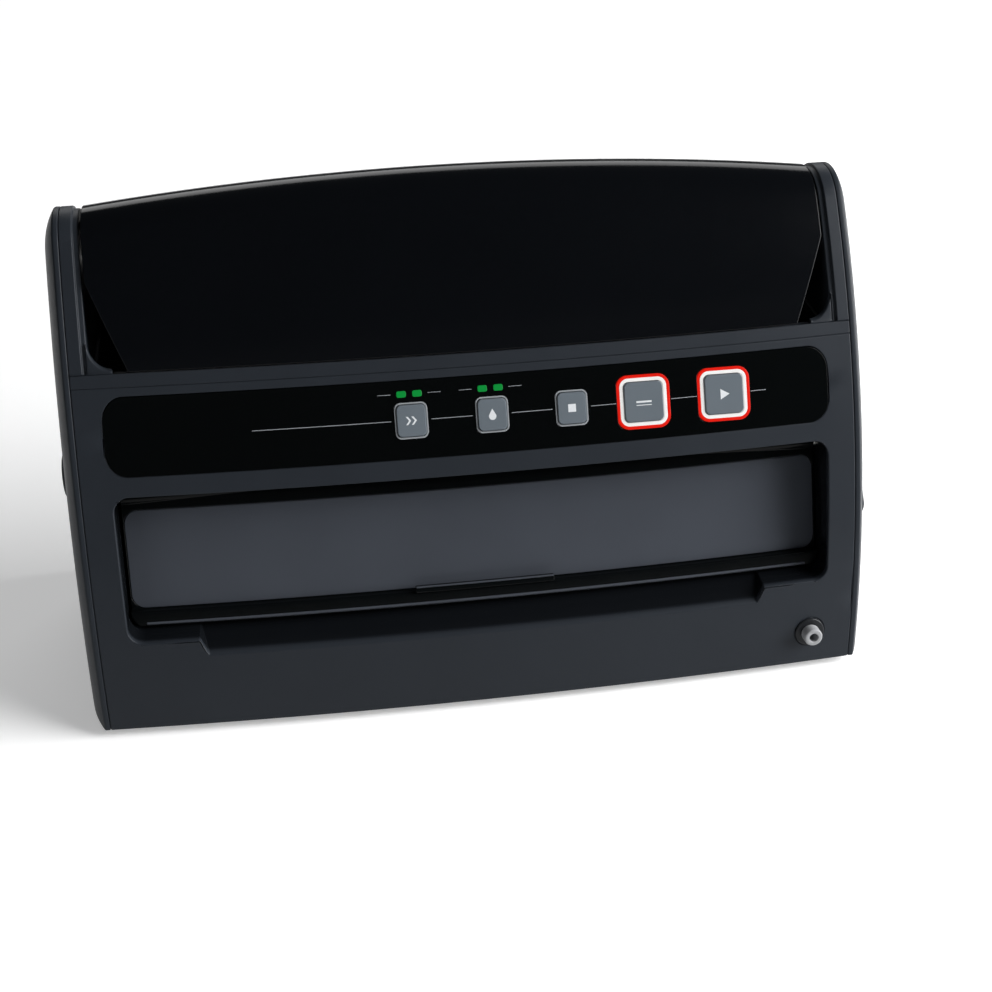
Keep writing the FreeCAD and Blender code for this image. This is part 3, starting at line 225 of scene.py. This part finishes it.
def front_plastic():
    """Charcoal grain on the outside, which turns glossy and darker in the door's recess: the walls are gloss black,
    and the darker colour is also a painted shade where the recess and bag ramp lie in shadow.
    """
    finish = Finish("front_plastic_recess_gloss_and_painted_shade", {"Specular IOR Level": MOULDED_SHINE})
    x, y, z = (finish.node("ShaderNodeSeparateXYZ", None, {0: finish.place}, axis) for axis in range(3))
    back = y - FRONT_CENTRE_Y - x * x * (0.5 / BOW_RADIUS)
    height = z - FRONT_CENTRE_Z
    reach = finish.node("ShaderNodeMath", {"operation": "SQRT"}, {0: back * back + height * height})
    sunk = finish.eased(FRONT_RADIUS - reach, RECESS_GLOSS_AND_SHADE_STARTS, RECESS_GLOSS_AND_SHADE_FULL)
    shade, dullness, grain = moulded_skin(finish, CHARCOAL, CHARCOAL_ROUGHNESS, CHARCOAL_GRAIN_PER_METRE)
    # Painted shade: the recess colour drops to a fraction of the charcoal, partly for the gloss-black walls and
    # partly for the shadow under the lip.
    finish.feed("Base Color", finish.between(sunk, shade, tinted(CHARCOAL, RECESS_BLACK_AND_SHADE_SHARE)))
    finish.feed("Roughness", dullness - POLISH_ROUGHNESS_DROP * sunk)
    finish.relief(grain * (1.0 - sunk), CHARCOAL_GRAIN_DEPTH)
    return finish.material


FRONT_SKIN_SLACK = 0.0004


def front_skin(place):
    """Outward normal of the bowed front at a place on it, or nothing away from it."""
    back = place.y - FRONT_CENTRE_Y - place.x ** 2 / (2 * BOW_RADIUS)
    height = place.z - FRONT_CENTRE_Z
    reach = math.hypot(back, height)
    if abs(reach - FRONT_RADIUS) > FRONT_SKIN_SLACK:
        return None
    return Vector((-back / reach * place.x / BOW_RADIUS, back / reach, height / reach)).normalized()


ON_SKIN = 0.985      # least cosine between a face and the skin that it lies on
NEAR_SKIN = 0.2      # least cosine for the faces beside it that share its corners


def true_shading(piece, skin):
    """Shade the faces that lie on a known curved skin with that skin's own normals."""
    mesh = piece.data
    known = {}
    for polygon in mesh.polygons:
        for vertex in polygon.vertices:
            normal = skin(mesh.vertices[vertex].co)
            if normal is not None and polygon.normal.dot(normal) > ON_SKIN:
                known[vertex] = normal
    normals = [corner.vector.copy() for corner in mesh.corner_normals]
    for polygon in mesh.polygons:
        for vertex, index in zip(polygon.vertices, polygon.loop_indices):
            if vertex in known and polygon.normal.dot(known[vertex]) > NEAR_SKIN:
                normals[index] = known[vertex]
    mesh.normals_split_custom_set(normals)


FRONT_EDGE = 0.0008
true_shading(softened("front_housing", FRONT_EDGE, front_plastic()), front_skin)
true_shading(softened("upper_housing", HOUSING_EDGE, charcoal), front_skin)


# Base plate and feet.
# The base is a ribbed plate of the same plastic with a coarser grain. Four tapered rubber feet
# plug into it, and six cross-head screws hold it to the housing.
PLATE_EDGE = 0.0004
MOULDED_EDGE = 0.0005
HAIR_EDGE = 0.0001
base_plastic = moulded_plastic("base_plastic", tinted(CHARCOAL, 0.8), 0.55, 1500, 0.00006)
softened("base_plate", PLATE_EDGE, base_plastic)

foot_rubber = moulded_plastic("foot_rubber", (0.012, 0.012, 0.0125), 0.82, 3200, 0.00005)
softened("rubber_feet", MOULDED_EDGE, foot_rubber)


def bright_metal(name, colour, roughness, scratch_depth):
    """Plain metal with fine drawn scratches along X and uneven shine."""
    finish = Finish(name, {"Metallic": 1.0})
    stretched = finish.node("ShaderNodeMapping", None, {"Vector": finish.place, "Scale": (30, 900, 900)})
    scratch = finish.node("ShaderNodeTexNoise", None, {"Vector": stretched, "Scale": 1.0, "Detail": 2.0})
    patch = finish.noise(45, 3)
    finish.feed("Base Color", finish.between(patch, tinted(colour, 0.88), tinted(colour, 1.05)))
    finish.feed("Roughness", roughness + 0.16 * (patch - 0.5) + 0.10 * (scratch - 0.5))
    finish.relief(scratch, scratch_depth)
    return finish.material


steel = bright_metal("plain_steel", (0.56, 0.56, 0.55), 0.34, 0.00001)
for node in ("base_screws", "rear_screws"):
    softened(node, HAIR_EDGE, steel)


# Roll trough under the lid.
# A curved bed of the housing's plastic, dropped in from above, that the bag roll turns in.
SOFT_EDGE = 0.0006
softened("roll_trough", SOFT_EDGE, base_plastic)


# Storage lid.
# One domed shell in polished black plastic over the roll bay, turning on two steel pins near
# its back edge.
def polished_plastic(name, colour, roughness, constants=None):
    """High-gloss plastic: deep colour, a smooth skin and faint wiping marks."""
    finish = Finish(name, {"Specular IOR Level": 0.12, **(constants or {})})
    cloud = finish.noise(11, 3)
    wiping = finish.noise(90, 4)
    finish.feed("Base Color", finish.between(cloud, tinted(colour, 0.85), tinted(colour, 1.15)))
    finish.feed("Roughness", roughness + 0.06 * (wiping - 0.5) + 0.05 * (cloud - 0.5))
    finish.relief(finish.noise(700, 1), 0.000002)
    return finish.material


FINE_EDGE = 0.0002
LID_BLACK = (0.0022, 0.0026, 0.0034)
LID_HALF = 0.1986
LID_SKIN_SLACK = 0.0006
CROWN_RADIUS = 0.028
CROWN_LEAN_MIDDLE = math.radians(43.4)
CROWN_LEAN_FALL = math.radians(1.9)


def lid_skin(place):
    """Outward normal of the lid's domed outside at a place on it, or nothing away from it."""
    lean = CROWN_LEAN_MIDDLE - CROWN_LEAN_FALL * (place.x / LID_HALF) ** 2
    arm = FRONT_RADIUS - CROWN_RADIUS
    back = place.y - FRONT_CENTRE_Y + arm * math.cos(lean) - place.x ** 2 / (2 * BOW_RADIUS)
    height = place.z - FRONT_CENTRE_Z - arm * math.sin(lean)
    reach = math.hypot(back, height)
    if math.atan2(height, -back) < lean or abs(reach - CROWN_RADIUS) > LID_SKIN_SLACK:
        return front_skin(place)
    lean_slope = -2 * CROWN_LEAN_FALL * place.x / LID_HALF ** 2
    back_slope = place.x / BOW_RADIUS + arm * math.sin(lean) * lean_slope
    height_slope = arm * math.cos(lean) * lean_slope
    aside = -(back * back_slope + height * height_slope) / reach
    return Vector((aside, back / reach, height / reach)).normalized()


lid_gloss = polished_plastic("lid_polished_black", LID_BLACK, 0.13)
true_shading(softened("storage_lid", SOFT_EDGE, lid_gloss), lid_skin)
softened("lid_hinge_pins", FINE_EDGE, steel)


# Control panel.
# A thin gloss-black plate let into the front, printed with fine grey lines that join the
# buttons in a row.
BUTTON_Z = 0.1605
SMALL_BUTTONS = {"speed": -0.0357, "food": 0.0075, "cancel": 0.0506}
SMALL_REACH = 0.0112
SMALL_WIDTH_SHARE = 0.86
SMALL_HEIGHT_SHARE = 0.94


def lean_at(z):
    return math.asin((z - FRONT_CENTRE_Z) / FRONT_RADIUS)


def front_point(x, z):
    """A point on the bowed, leaning front."""
    bow = BOW_RADIUS - math.sqrt(BOW_RADIUS ** 2 - x ** 2)
    return Vector((x, FRONT_CENTRE_Y - FRONT_RADIUS * math.cos(lean_at(z)) + bow, z))


def outward(z):
    return Vector((0, -math.cos(lean_at(z)), math.sin(lean_at(z))))


def narrowed(piece, x):
    """Draw in what lies round a small button, so that button, border and window are upright."""
    middle = front_point(x, BUTTON_Z)
    rise = Vector((0, math.sin(lean_at(BUTTON_Z)), math.cos(lean_at(BUTTON_Z))))
    for vertex in piece.data.vertices:
        aside = vertex.co.x - middle.x
        above = (vertex.co - middle).dot(rise)
        if abs(aside) < SMALL_REACH and abs(above) < SMALL_REACH:
            vertex.co.x -= aside * (1 - SMALL_WIDTH_SHARE)
            vertex.co -= rise * above * (1 - SMALL_HEIGHT_SHARE)
    piece.data.update()


panel_gloss = polished_plastic("panel_polished_black", (0.0014, 0.0018, 0.0019), 0.12)
PANEL_EDGE = 0.00015
panel = softened("control_panel", PANEL_EDGE, panel_gloss)
for x in SMALL_BUTTONS.values():
    narrowed(panel, x)
true_shading(panel, front_skin)

PANEL_SKIN = 0.0002
LINE_WIDTH = 0.0010
ink = Finish("panel_grey_ink", {"Roughness": 0.45})
ink.feed("Base Color", ink.between(ink.noise(900, 2), (0.25, 0.265, 0.29), (0.32, 0.335, 0.36)))


def nodes_tree(name, inputs):
    """An empty geometry tree with named number inputs, and its first and last node."""
    tree = bpy.data.node_groups.new(name, "GeometryNodeTree")
    tree.interface.new_socket("Geometry", in_out="OUTPUT", socket_type="NodeSocketGeometry")
    for label, value in inputs.items():
        made = tree.interface.new_socket(label, in_out="INPUT", socket_type="NodeSocketFloat")
        made.default_value = value
    return tree, tree.nodes.new("NodeGroupInput"), tree.nodes.new("NodeGroupOutput")


def tree_node(tree, kind, settings=None, sockets=None):
    """One geometry node, with its settings, and the values or links of its sockets."""
    made = tree.nodes.new(kind)
    for name, value in (settings or {}).items():
        setattr(made, name, value)
    for key, value in (sockets or {}).items():
        if isinstance(value, bpy.types.NodeSocket):
            tree.links.new(value, made.inputs[key])
        else:
            made.inputs[key].default_value = value
    return made


def number(tree, operation, first, second):
    return tree_node(tree, "ShaderNodeMath", {"operation": operation}, {0: first, 1: second}).outputs[0]


def grown(name, tree, values):
    """A plain mesh piece made by a geometry tree with these input values."""
    piece = linked(bpy.data.objects.new(name, bpy.data.meshes.new(name)))
    growth = piece.modifiers.new("growth", "NODES")
    growth.node_group = tree
    for item in tree.interface.items_tree:
        if item.in_out == "INPUT" and item.name in values:
            growth[item.identifier] = values[item.name]
    return plain_mesh(piece)


def bowed_bar_tree(name, material):
    """A flat bar from one x to another, bent with the front's bow, at a place in y and z."""
    tree, given, result = nodes_tree(name, {"Start": 0.0, "End": 0.1, "Width": LINE_WIDTH, "Thickness": 0.0001,
                                            "Place Y": 0.0, "Place Z": 0.0, "Lean": 0.0})
    start = tree_node(tree, "ShaderNodeCombineXYZ", None, {0: given.outputs["Start"]})
    end = tree_node(tree, "ShaderNodeCombineXYZ", None, {0: given.outputs["End"]})
    path = tree_node(tree, "GeometryNodeCurvePrimitiveLine", None, {"Start": start.outputs[0], "End": end.outputs[0]})
    path = tree_node(tree, "GeometryNodeResampleCurve", None, {"Curve": path.outputs[0], "Count": 48})
    place = tree_node(tree, "ShaderNodeSeparateXYZ", None,
                      {0: tree_node(tree, "GeometryNodeInputPosition").outputs[0]})
    x = place.outputs[0]
    bow = number(tree, "DIVIDE", number(tree, "MULTIPLY", x, x), 2 * BOW_RADIUS)
    shift = tree_node(tree, "ShaderNodeCombineXYZ", None,
                      {1: number(tree, "ADD", bow, given.outputs["Place Y"]), 2: given.outputs["Place Z"]})
    path = tree_node(tree, "GeometryNodeSetPosition", None,
                     {"Geometry": path.outputs[0], "Offset": shift.outputs[0]})
    path = tree_node(tree, "GeometryNodeSetCurveTilt", None,
                     {"Curve": path.outputs[0], "Tilt": given.outputs["Lean"]})
    section = tree_node(tree, "GeometryNodeCurvePrimitiveQuadrilateral", None,
                        {"Width": given.outputs["Thickness"], "Height": given.outputs["Width"]})
    strip = tree_node(tree, "GeometryNodeCurveToMesh", None,
                      {"Curve": path.outputs[0], "Profile Curve": section.outputs[0], "Fill Caps": True})
    solid = tree_node(tree, "GeometryNodeRealizeInstances", None, {"Geometry": strip.outputs[0]})
    painted = tree_node(tree, "GeometryNodeSetMaterial", None, {"Geometry": solid.outputs[0], "Material": material})
    tree.links.new(painted.outputs[0], result.inputs[0])
    return tree


line_tree = bowed_bar_tree("printed_line", ink.material)


def printed_line(name, start, end, z, width):
    base = front_point(0, z) + outward(z) * PANEL_SKIN
    line = grown(name, line_tree, {"Start": start, "End": end, "Width": width, "Place Y": base.y, "Place Z": base.z,
                                   "Lean": lean_at(z)})
    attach(line, "housing")


LINE_SPANS = {
    "line_to_speed": (-0.1192, -0.0463),
    "line_to_food": (-0.0251, -0.0031),
    "line_to_cancel": (0.0180, 0.0401),
    "line_to_seal": (0.0612, 0.0750),
    "line_to_start": (0.1055, 0.1200),
    "line_from_start": (0.1504, 0.1591),
}
for name, (start, end) in LINE_SPANS.items():
    printed_line(name, start, end, BUTTON_Z, LINE_WIDTH)

LAMP_Z = 0.1728
TICK_HALF = 0.0035
TICK_WIDTH = 0.0007
TICK_MIDDLES = {"tick_speed_left": -0.0492, "tick_speed_right": -0.0226, "tick_food_left": -0.0060,
                "tick_food_right": 0.0207}
for name, middle in TICK_MIDDLES.items():
    printed_line(name, middle - TICK_HALF, middle + TICK_HALF, LAMP_Z, TICK_WIDTH)


# Push buttons with their borders, light rings and lamps.
# Grey satin caps stand in the panel's windows. Three have a pale printed frame, the two large
# ones a lit white ring inside a lit red one, and four green lamps sit above the first two.
button_grey = moulded_plastic("button_satin_grey", (0.108, 0.127, 0.145), 0.36, 3000, 0.00002)
for key in ("seal", "start"):
    softened(key + "_button", HAIR_EDGE, button_grey)
for key, x in SMALL_BUTTONS.items():
    narrowed(softened(key + "_button", HAIR_EDGE, button_grey), x)

border_grey = moulded_plastic("border_pale_grey", (0.25, 0.265, 0.28), 0.4, 3000, 0.00001)
borders = softened("button_borders", HAIR_EDGE, border_grey)
for x in SMALL_BUTTONS.values():
    narrowed(borders, x)

BUTTON_PROUD = 0.0012
INK_THICK = 0.00008
white_ink = Finish("button_white_ink", {"Roughness": 0.5})
white_ink.feed("Base Color", white_ink.between(white_ink.noise(900, 2), (0.56, 0.58, 0.60), (0.66, 0.68, 0.70)))


def ink_mark(key, x, outlines):
    """Printed mark on a button's face, each outline drawn in millimetres about its middle."""
    base = front_point(x, BUTTON_Z) + outward(BUTTON_Z) * (BUTTON_PROUD - INK_THICK / 2)
    rise = Vector((0, math.sin(lean_at(BUTTON_Z)), math.cos(lean_at(BUTTON_Z))))
    form = bmesh.new()
    for outline in outlines:
        foot = [form.verts.new(base + Vector((u / 1000, 0, 0)) + rise * (v / 1000)) for u, v in outline]
        face = form.faces.new(foot)
        grown_face = bmesh.ops.extrude_face_region(form, geom=[face])
        top = [item for item in grown_face["geom"] if isinstance(item, bmesh.types.BMVert)]
        bmesh.ops.translate(form, vec=outward(BUTTON_Z) * INK_THICK, verts=top)
    bmesh.ops.recalc_face_normals(form, faces=form.faces)
    mesh = bpy.data.meshes.new(key + "_mark")
    form.to_mesh(mesh)
    form.free()
    mesh.materials.append(white_ink.material)
    mark = linked(bpy.data.objects.new(key + "_mark", mesh))
    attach(mark, key + "_key")


def chevron(middle):
    return [(middle - 1.6, 2.2), (middle - 0.5, 2.2), (middle + 1.2, 0), (middle - 0.5, -2.2), (middle - 1.6, -2.2),
            (middle + 0.1, 0)]


def drop():
    round_end = [math.radians(angle) for angle in range(-200, 21, 20)]
    return [(0, 3.2)] + [(-2.0 * math.cos(a), -0.9 + 2.0 * math.sin(a)) for a in reversed(round_end)]


ink_mark("speed", SMALL_BUTTONS["speed"], [chevron(-1.4), chevron(1.6)])
ink_mark("food", SMALL_BUTTONS["food"], [drop()])
ink_mark("cancel", SMALL_BUTTONS["cancel"], [[(-2.1, -2.1), (2.1, -2.1), (2.1, 2.1), (-2.1, 2.1)]])
SEAL_X = 0.0902
START_X = 0.1352
ink_mark("seal", SEAL_X, [[(-4.2, -0.5), (4.2, -0.5), (4.2, 0.5), (-4.2, 0.5)],
                          [(-4.2, -2.0), (4.2, -2.0), (4.2, -1.6), (-4.2, -1.6)]])
ink_mark("start", START_X, [[(-2.0, -2.8), (3.0, 0), (-2.0, 2.8)]])


def lit_plastic(name, colour, glow, strength):
    """Translucent plastic with a lamp behind it, a little uneven along its length."""
    finish = Finish(name, {"Roughness": 0.35, "Specular IOR Level": 0.15, "Emission Strength": strength})
    spread = finish.noise(160, 2)
    finish.feed("Base Color", finish.between(spread, tinted(colour, 0.9), colour))
    finish.feed("Emission Color", finish.between(spread, tinted(glow, 0.85), glow))
    return finish.material


lit_white = lit_plastic("ring_lit_white", (0.42, 0.42, 0.42), (1.0, 0.97, 0.93), 0.45)
softened("white_light_rings", FINE_EDGE, lit_white)
lit_red = lit_plastic("ring_lit_red", (0.34, 0.006, 0.002), (1.0, 0.010, 0.002), 0.40)
softened("red_light_rings", FINE_EDGE, lit_red)
lit_green = lit_plastic("lamp_lit_green", (0.002, 0.10, 0.016), (0.002, 0.42, 0.06), 0.36)
softened("indicator_lenses", FINE_EDGE, lit_green)


# Bag door.
# A gloss-black frame with a moulded lip and a finger tab, faced with a satin grey plate. It
# swings on two pins at its top edge and carries a foam gasket and a rubber pressure strip.
SMALL_EDGE = 0.0003
door_gloss = polished_plastic("door_frame_black", (0.0022, 0.0028, 0.0031), 0.20, {"Specular IOR Level": 0.08})
softened("door_frame", MOULDED_EDGE, door_gloss)
door_grey = moulded_plastic("door_satin_grey", (0.048, 0.0535, 0.065), 0.34, 3000, 0.00002)
DOOR_LEAN = math.radians(23.6)


def door_skin(place):
    """Outward normal of the door's bowed flat face."""
    ahead = math.cos(DOOR_LEAN)
    return Vector((ahead * place.x / BOW_RADIUS, -ahead, math.sin(DOOR_LEAN))).normalized()


true_shading(softened("door_panel", PLATE_EDGE, door_grey), door_skin)
softened("door_grip", SOFT_EDGE, door_gloss)
softened("door_hinge_pins", FINE_EDGE, steel)
softened("door_catches", SMALL_EDGE, steel)
softened("striker_pins", SMALL_EDGE, steel)

DOOR_TOP_Y = -0.0299
DOOR_TOP_Z = 0.1157
# The lip and the finger tab get thin raised beads in the face's pale grey: the beads give the edges some relief, and
# their pale colour is a painted highlight line on the gloss-black lip.
highlight_bead_tree = bowed_bar_tree("lip_painted_highlight_bead", door_grey)


def door_highlight_bead(name, down, proud, half_length, width, thickness):
    """A thin raised bead along the door, so far down its face and so far proud of it, pale grey on the black lip as a
    painted highlight line.
    """
    bead = grown(name, highlight_bead_tree, {
        "Start": -half_length, "End": half_length, "Width": width, "Thickness": thickness, "Lean": DOOR_LEAN,
        "Place Y": DOOR_TOP_Y - down * math.sin(DOOR_LEAN) - proud * math.cos(DOOR_LEAN),
        "Place Z": DOOR_TOP_Z - down * math.cos(DOOR_LEAN) + proud * math.sin(DOOR_LEAN)})
    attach(bead, "door")


# Painted highlight lines along the lip and along the top of the tab.
door_highlight_bead("door_lip_painted_highlight_bead", down=0.0631, proud=0.0041, half_length=0.1845, width=0.0011, thickness=0.0014)
door_highlight_bead("door_tab_painted_highlight_bead", down=0.0535, proud=0.0061, half_length=0.0382, width=0.0008, thickness=0.0008)

foam = moulded_plastic("gasket_foam", (0.022, 0.022, 0.024), 0.9, 1400, 0.0002)
softened("upper_gasket", SOFT_EDGE, foam)
strip_rubber = moulded_plastic("pressure_strip_rubber", (0.14, 0.035, 0.022), 0.7, 2400, 0.00003)
softened("pressure_strip", MOULDED_EDGE, strip_rubber)


# Vacuum chamber with its gasket, tray and heater.
# A black trough behind the door that the two gaskets close off. The tray catches juice, and a
# heater bar under woven glass tape welds the bag against the door's rubber strip.
chamber_plastic = moulded_plastic("chamber_plastic", (0.013, 0.0135, 0.0145), 0.35, 2600, 0.00003)
softened("vacuum_chamber", MOULDED_EDGE, chamber_plastic)
softened("lower_gasket", SOFT_EDGE, foam)
tray_plastic = moulded_plastic("tray_plastic", (0.03, 0.032, 0.036), 0.28, 2600, 0.00002)
softened("drip_tray", PLATE_EDGE, tray_plastic)
heater_metal = bright_metal("heater_aluminium", (0.68, 0.69, 0.70), 0.4, 0.00001)
softened("heater_bar", FINE_EDGE, heater_metal)

THREADS_SCALE = 620.0


def woven_tape():
    """Tan glass-cloth tape: crossed threads half a millimetre apart."""
    finish = Finish("woven_glass_tape", {"Roughness": 0.6})
    across, along = (finish.node("ShaderNodeTexWave", {"bands_direction": direction},
                                 {"Vector": finish.place, "Scale": THREADS_SCALE}) for direction in "XZ")
    weave = across * along
    finish.feed("Base Color", finish.between(weave, (0.25, 0.16, 0.075), (0.44, 0.30, 0.16)))
    finish.relief(weave, 0.0001)
    return finish.material


softened("heater_tape", HAIR_EDGE, woven_tape())


# Latch.
# One steel shaft crosses the body with a hook near each end. The charcoal lever on the right
# and the round cap on the left are pressed onto it, and it turns in two plain bearings.
softened("latch_shaft", SMALL_EDGE, steel)
softened("latch_hooks", PLATE_EDGE, steel)
softened("latch_lever", MOULDED_EDGE, charcoal)
softened("latch_cap", MOULDED_EDGE, charcoal)
softened("latch_bearings", PLATE_EDGE, chamber_plastic)
softened("door_switch", SMALL_EDGE, chamber_plastic)


# Hose port.
# A pale grey nozzle stands on a dark round seat let into the front's lower right corner. Both
# are moulded and pressed in from outside, and the soft end of a hose slips over the nozzle.
nozzle_grey = moulded_plastic("nozzle_pale_grey", (0.30, 0.305, 0.315), 0.38, 2800, 0.00002)
softened("port_nozzle", SMALL_EDGE, nozzle_grey)
seat_black = polished_plastic("port_seat_black", (0.016, 0.017, 0.019), 0.22)
softened("port_seat", SMALL_EDGE, seat_black)


# Control board, pump, tubes, transformer and cord gland.
# What works inside: a green board with its switches, a motor that drives a small piston pump,
# clear silicone tubes, a laminated transformer, and the rubber gland where the lead would pass.
board_green = moulded_plastic("board_solder_mask", (0.006, 0.055, 0.02), 0.3, 700, 0.00003)
softened("control_board", FINE_EDGE, board_green)
softened("tact_switches", FINE_EDGE, chamber_plastic)
softened("pump_bracket", PLATE_EDGE, chamber_plastic)
softened("pump_motor", SMALL_EDGE, steel)
softened("motor_rotor", FINE_EDGE, steel)
softened("pump_head", PLATE_EDGE, chamber_plastic)
tube_silicone = moulded_plastic("tube_silicone", (0.50, 0.50, 0.48), 0.45, 1800, 0.00002,
                                {"Subsurface Weight": 0.2, "Subsurface Scale": 0.002})
for node in ("port_tube", "vacuum_tube"):
    softened(node, SMALL_EDGE, tube_silicone)
laminated = bright_metal("laminated_steel", (0.30, 0.30, 0.31), 0.5, 0.00005)
softened("transformer_core", SMALL_EDGE, laminated)
enamelled = bright_metal("enamelled_copper", (0.60, 0.25, 0.11), 0.35, 0.0001)
softened("transformer_coil", PLATE_EDGE, enamelled)
softened("cord_gland", MOULDED_EDGE, foot_rubber)


# Studio.
# A near-white floor, one wide soft lamp behind that edges the lid, a soft lamp to the right of
# the front, a weak one to the left and a faint strip that grades the lid, in a dim room.
def soft_lamp(name, place, target, width, height, power):
    lamp = bpy.data.lights.new(name, "AREA")
    lamp.shape = "RECTANGLE"
    lamp.size = width
    lamp.size_y = height
    lamp.energy = power
    holder = linked(bpy.data.objects.new(name, lamp))
    holder.location = place
    holder.rotation_euler = (Vector(target) - Vector(place)).to_track_quat("-Z", "Y").to_euler()


BODY_MIDDLE = (0, 0, 0.1)
soft_lamp("back_lamp", place=(0.2, 1.9, 1.15), target=(0, 0.1, 0.15), width=2.6, height=0.8, power=16)
soft_lamp("right_lamp", place=(2.02, -0.56, 1.15), target=BODY_MIDDLE, width=1.6, height=2.0, power=130)
soft_lamp("left_lamp", place=(-1.5, -1.2, 0.9), target=BODY_MIDDLE, width=0.9, height=0.9, power=3.5)
soft_lamp("front_strip", place=(0.3, -1.85, 1.62), target=(0, 0, 0.2), width=2.0, height=0.24, power=0.15)

ROOM_COLOUR = (0.9, 0.95, 1.0, 1)
ROOM_STRENGTH = 0.05
room = bpy.data.worlds.new("room")
bpy.context.scene.world = room
room.use_nodes = True
room.node_tree.nodes["Background"].inputs["Color"].default_value = ROOM_COLOUR
room.node_tree.nodes["Background"].inputs["Strength"].default_value = ROOM_STRENGTH

FLOOR_HALF = 6.0
FLOOR_WHITE = 0.86
FLOOR_LIFT = (0.30, 0.30, 0.30)
BLACK = (0, 0, 0)
floor_mesh = bpy.data.meshes.new("floor")
corners = [(x * FLOOR_HALF, y * FLOOR_HALF, 0) for x, y in ((-1, -1), (1, -1), (1, 1), (-1, 1))]
floor_mesh.from_pydata(corners, [], [(0, 1, 2, 3)])
floor = linked(bpy.data.objects.new("floor", floor_mesh))
pale = Finish("floor_pale", {"Base Color": (FLOOR_WHITE, FLOOR_WHITE, FLOOR_WHITE, 1), "Roughness": 0.9,
                             "Emission Strength": 1.0})
camera_ray, glossy_ray, glass_ray = (pale.node("ShaderNodeLightPath", None, None, "Is " + kind + " Ray")
                                     for kind in ("Camera", "Glossy", "Transmission"))
pale.feed("Emission Color", pale.between(camera_ray + glossy_ray + glass_ray, BLACK, FLOOR_LIFT))
floor_mesh.materials.append(pale.material)


# Camera at the photograph's angle.
# It stands above the front and a little to its left, and its lens and slides give the object
# the size and place that it has in the picture.
YAW = math.radians(8.93)
PITCH = math.radians(33.98)
ROLL = math.radians(0.16)
FOCAL_PIXELS = 1539.6
FRAME_PIXELS = 992
SENSOR_WIDTH = 36.0
DISTANCE = 0.93348
SLIDE_RIGHT = -0.0146
SLIDE_UP = -0.07295
ahead = Vector((math.sin(YAW) * math.cos(PITCH), math.cos(YAW) * math.cos(PITCH), -math.sin(PITCH)))
level = Vector((math.cos(YAW), -math.sin(YAW), 0))
rise = level.cross(ahead)
right = math.cos(ROLL) * level + math.sin(ROLL) * rise
up = -math.sin(ROLL) * level + math.cos(ROLL) * rise
lens = bpy.data.cameras.new("camera")
lens.sensor_width = SENSOR_WIDTH
lens.lens = FOCAL_PIXELS * SENSOR_WIDTH / FRAME_PIXELS
camera = linked(bpy.data.objects.new("camera", lens))
turned = Matrix((right, up, -ahead)).transposed().to_4x4()
camera.matrix_world = Matrix.Translation(-DISTANCE * ahead - SLIDE_RIGHT * right - SLIDE_UP * up) @ turned
bpy.context.scene.camera = camera
bpy.context.scene.view_settings.view_transform = "Standard"
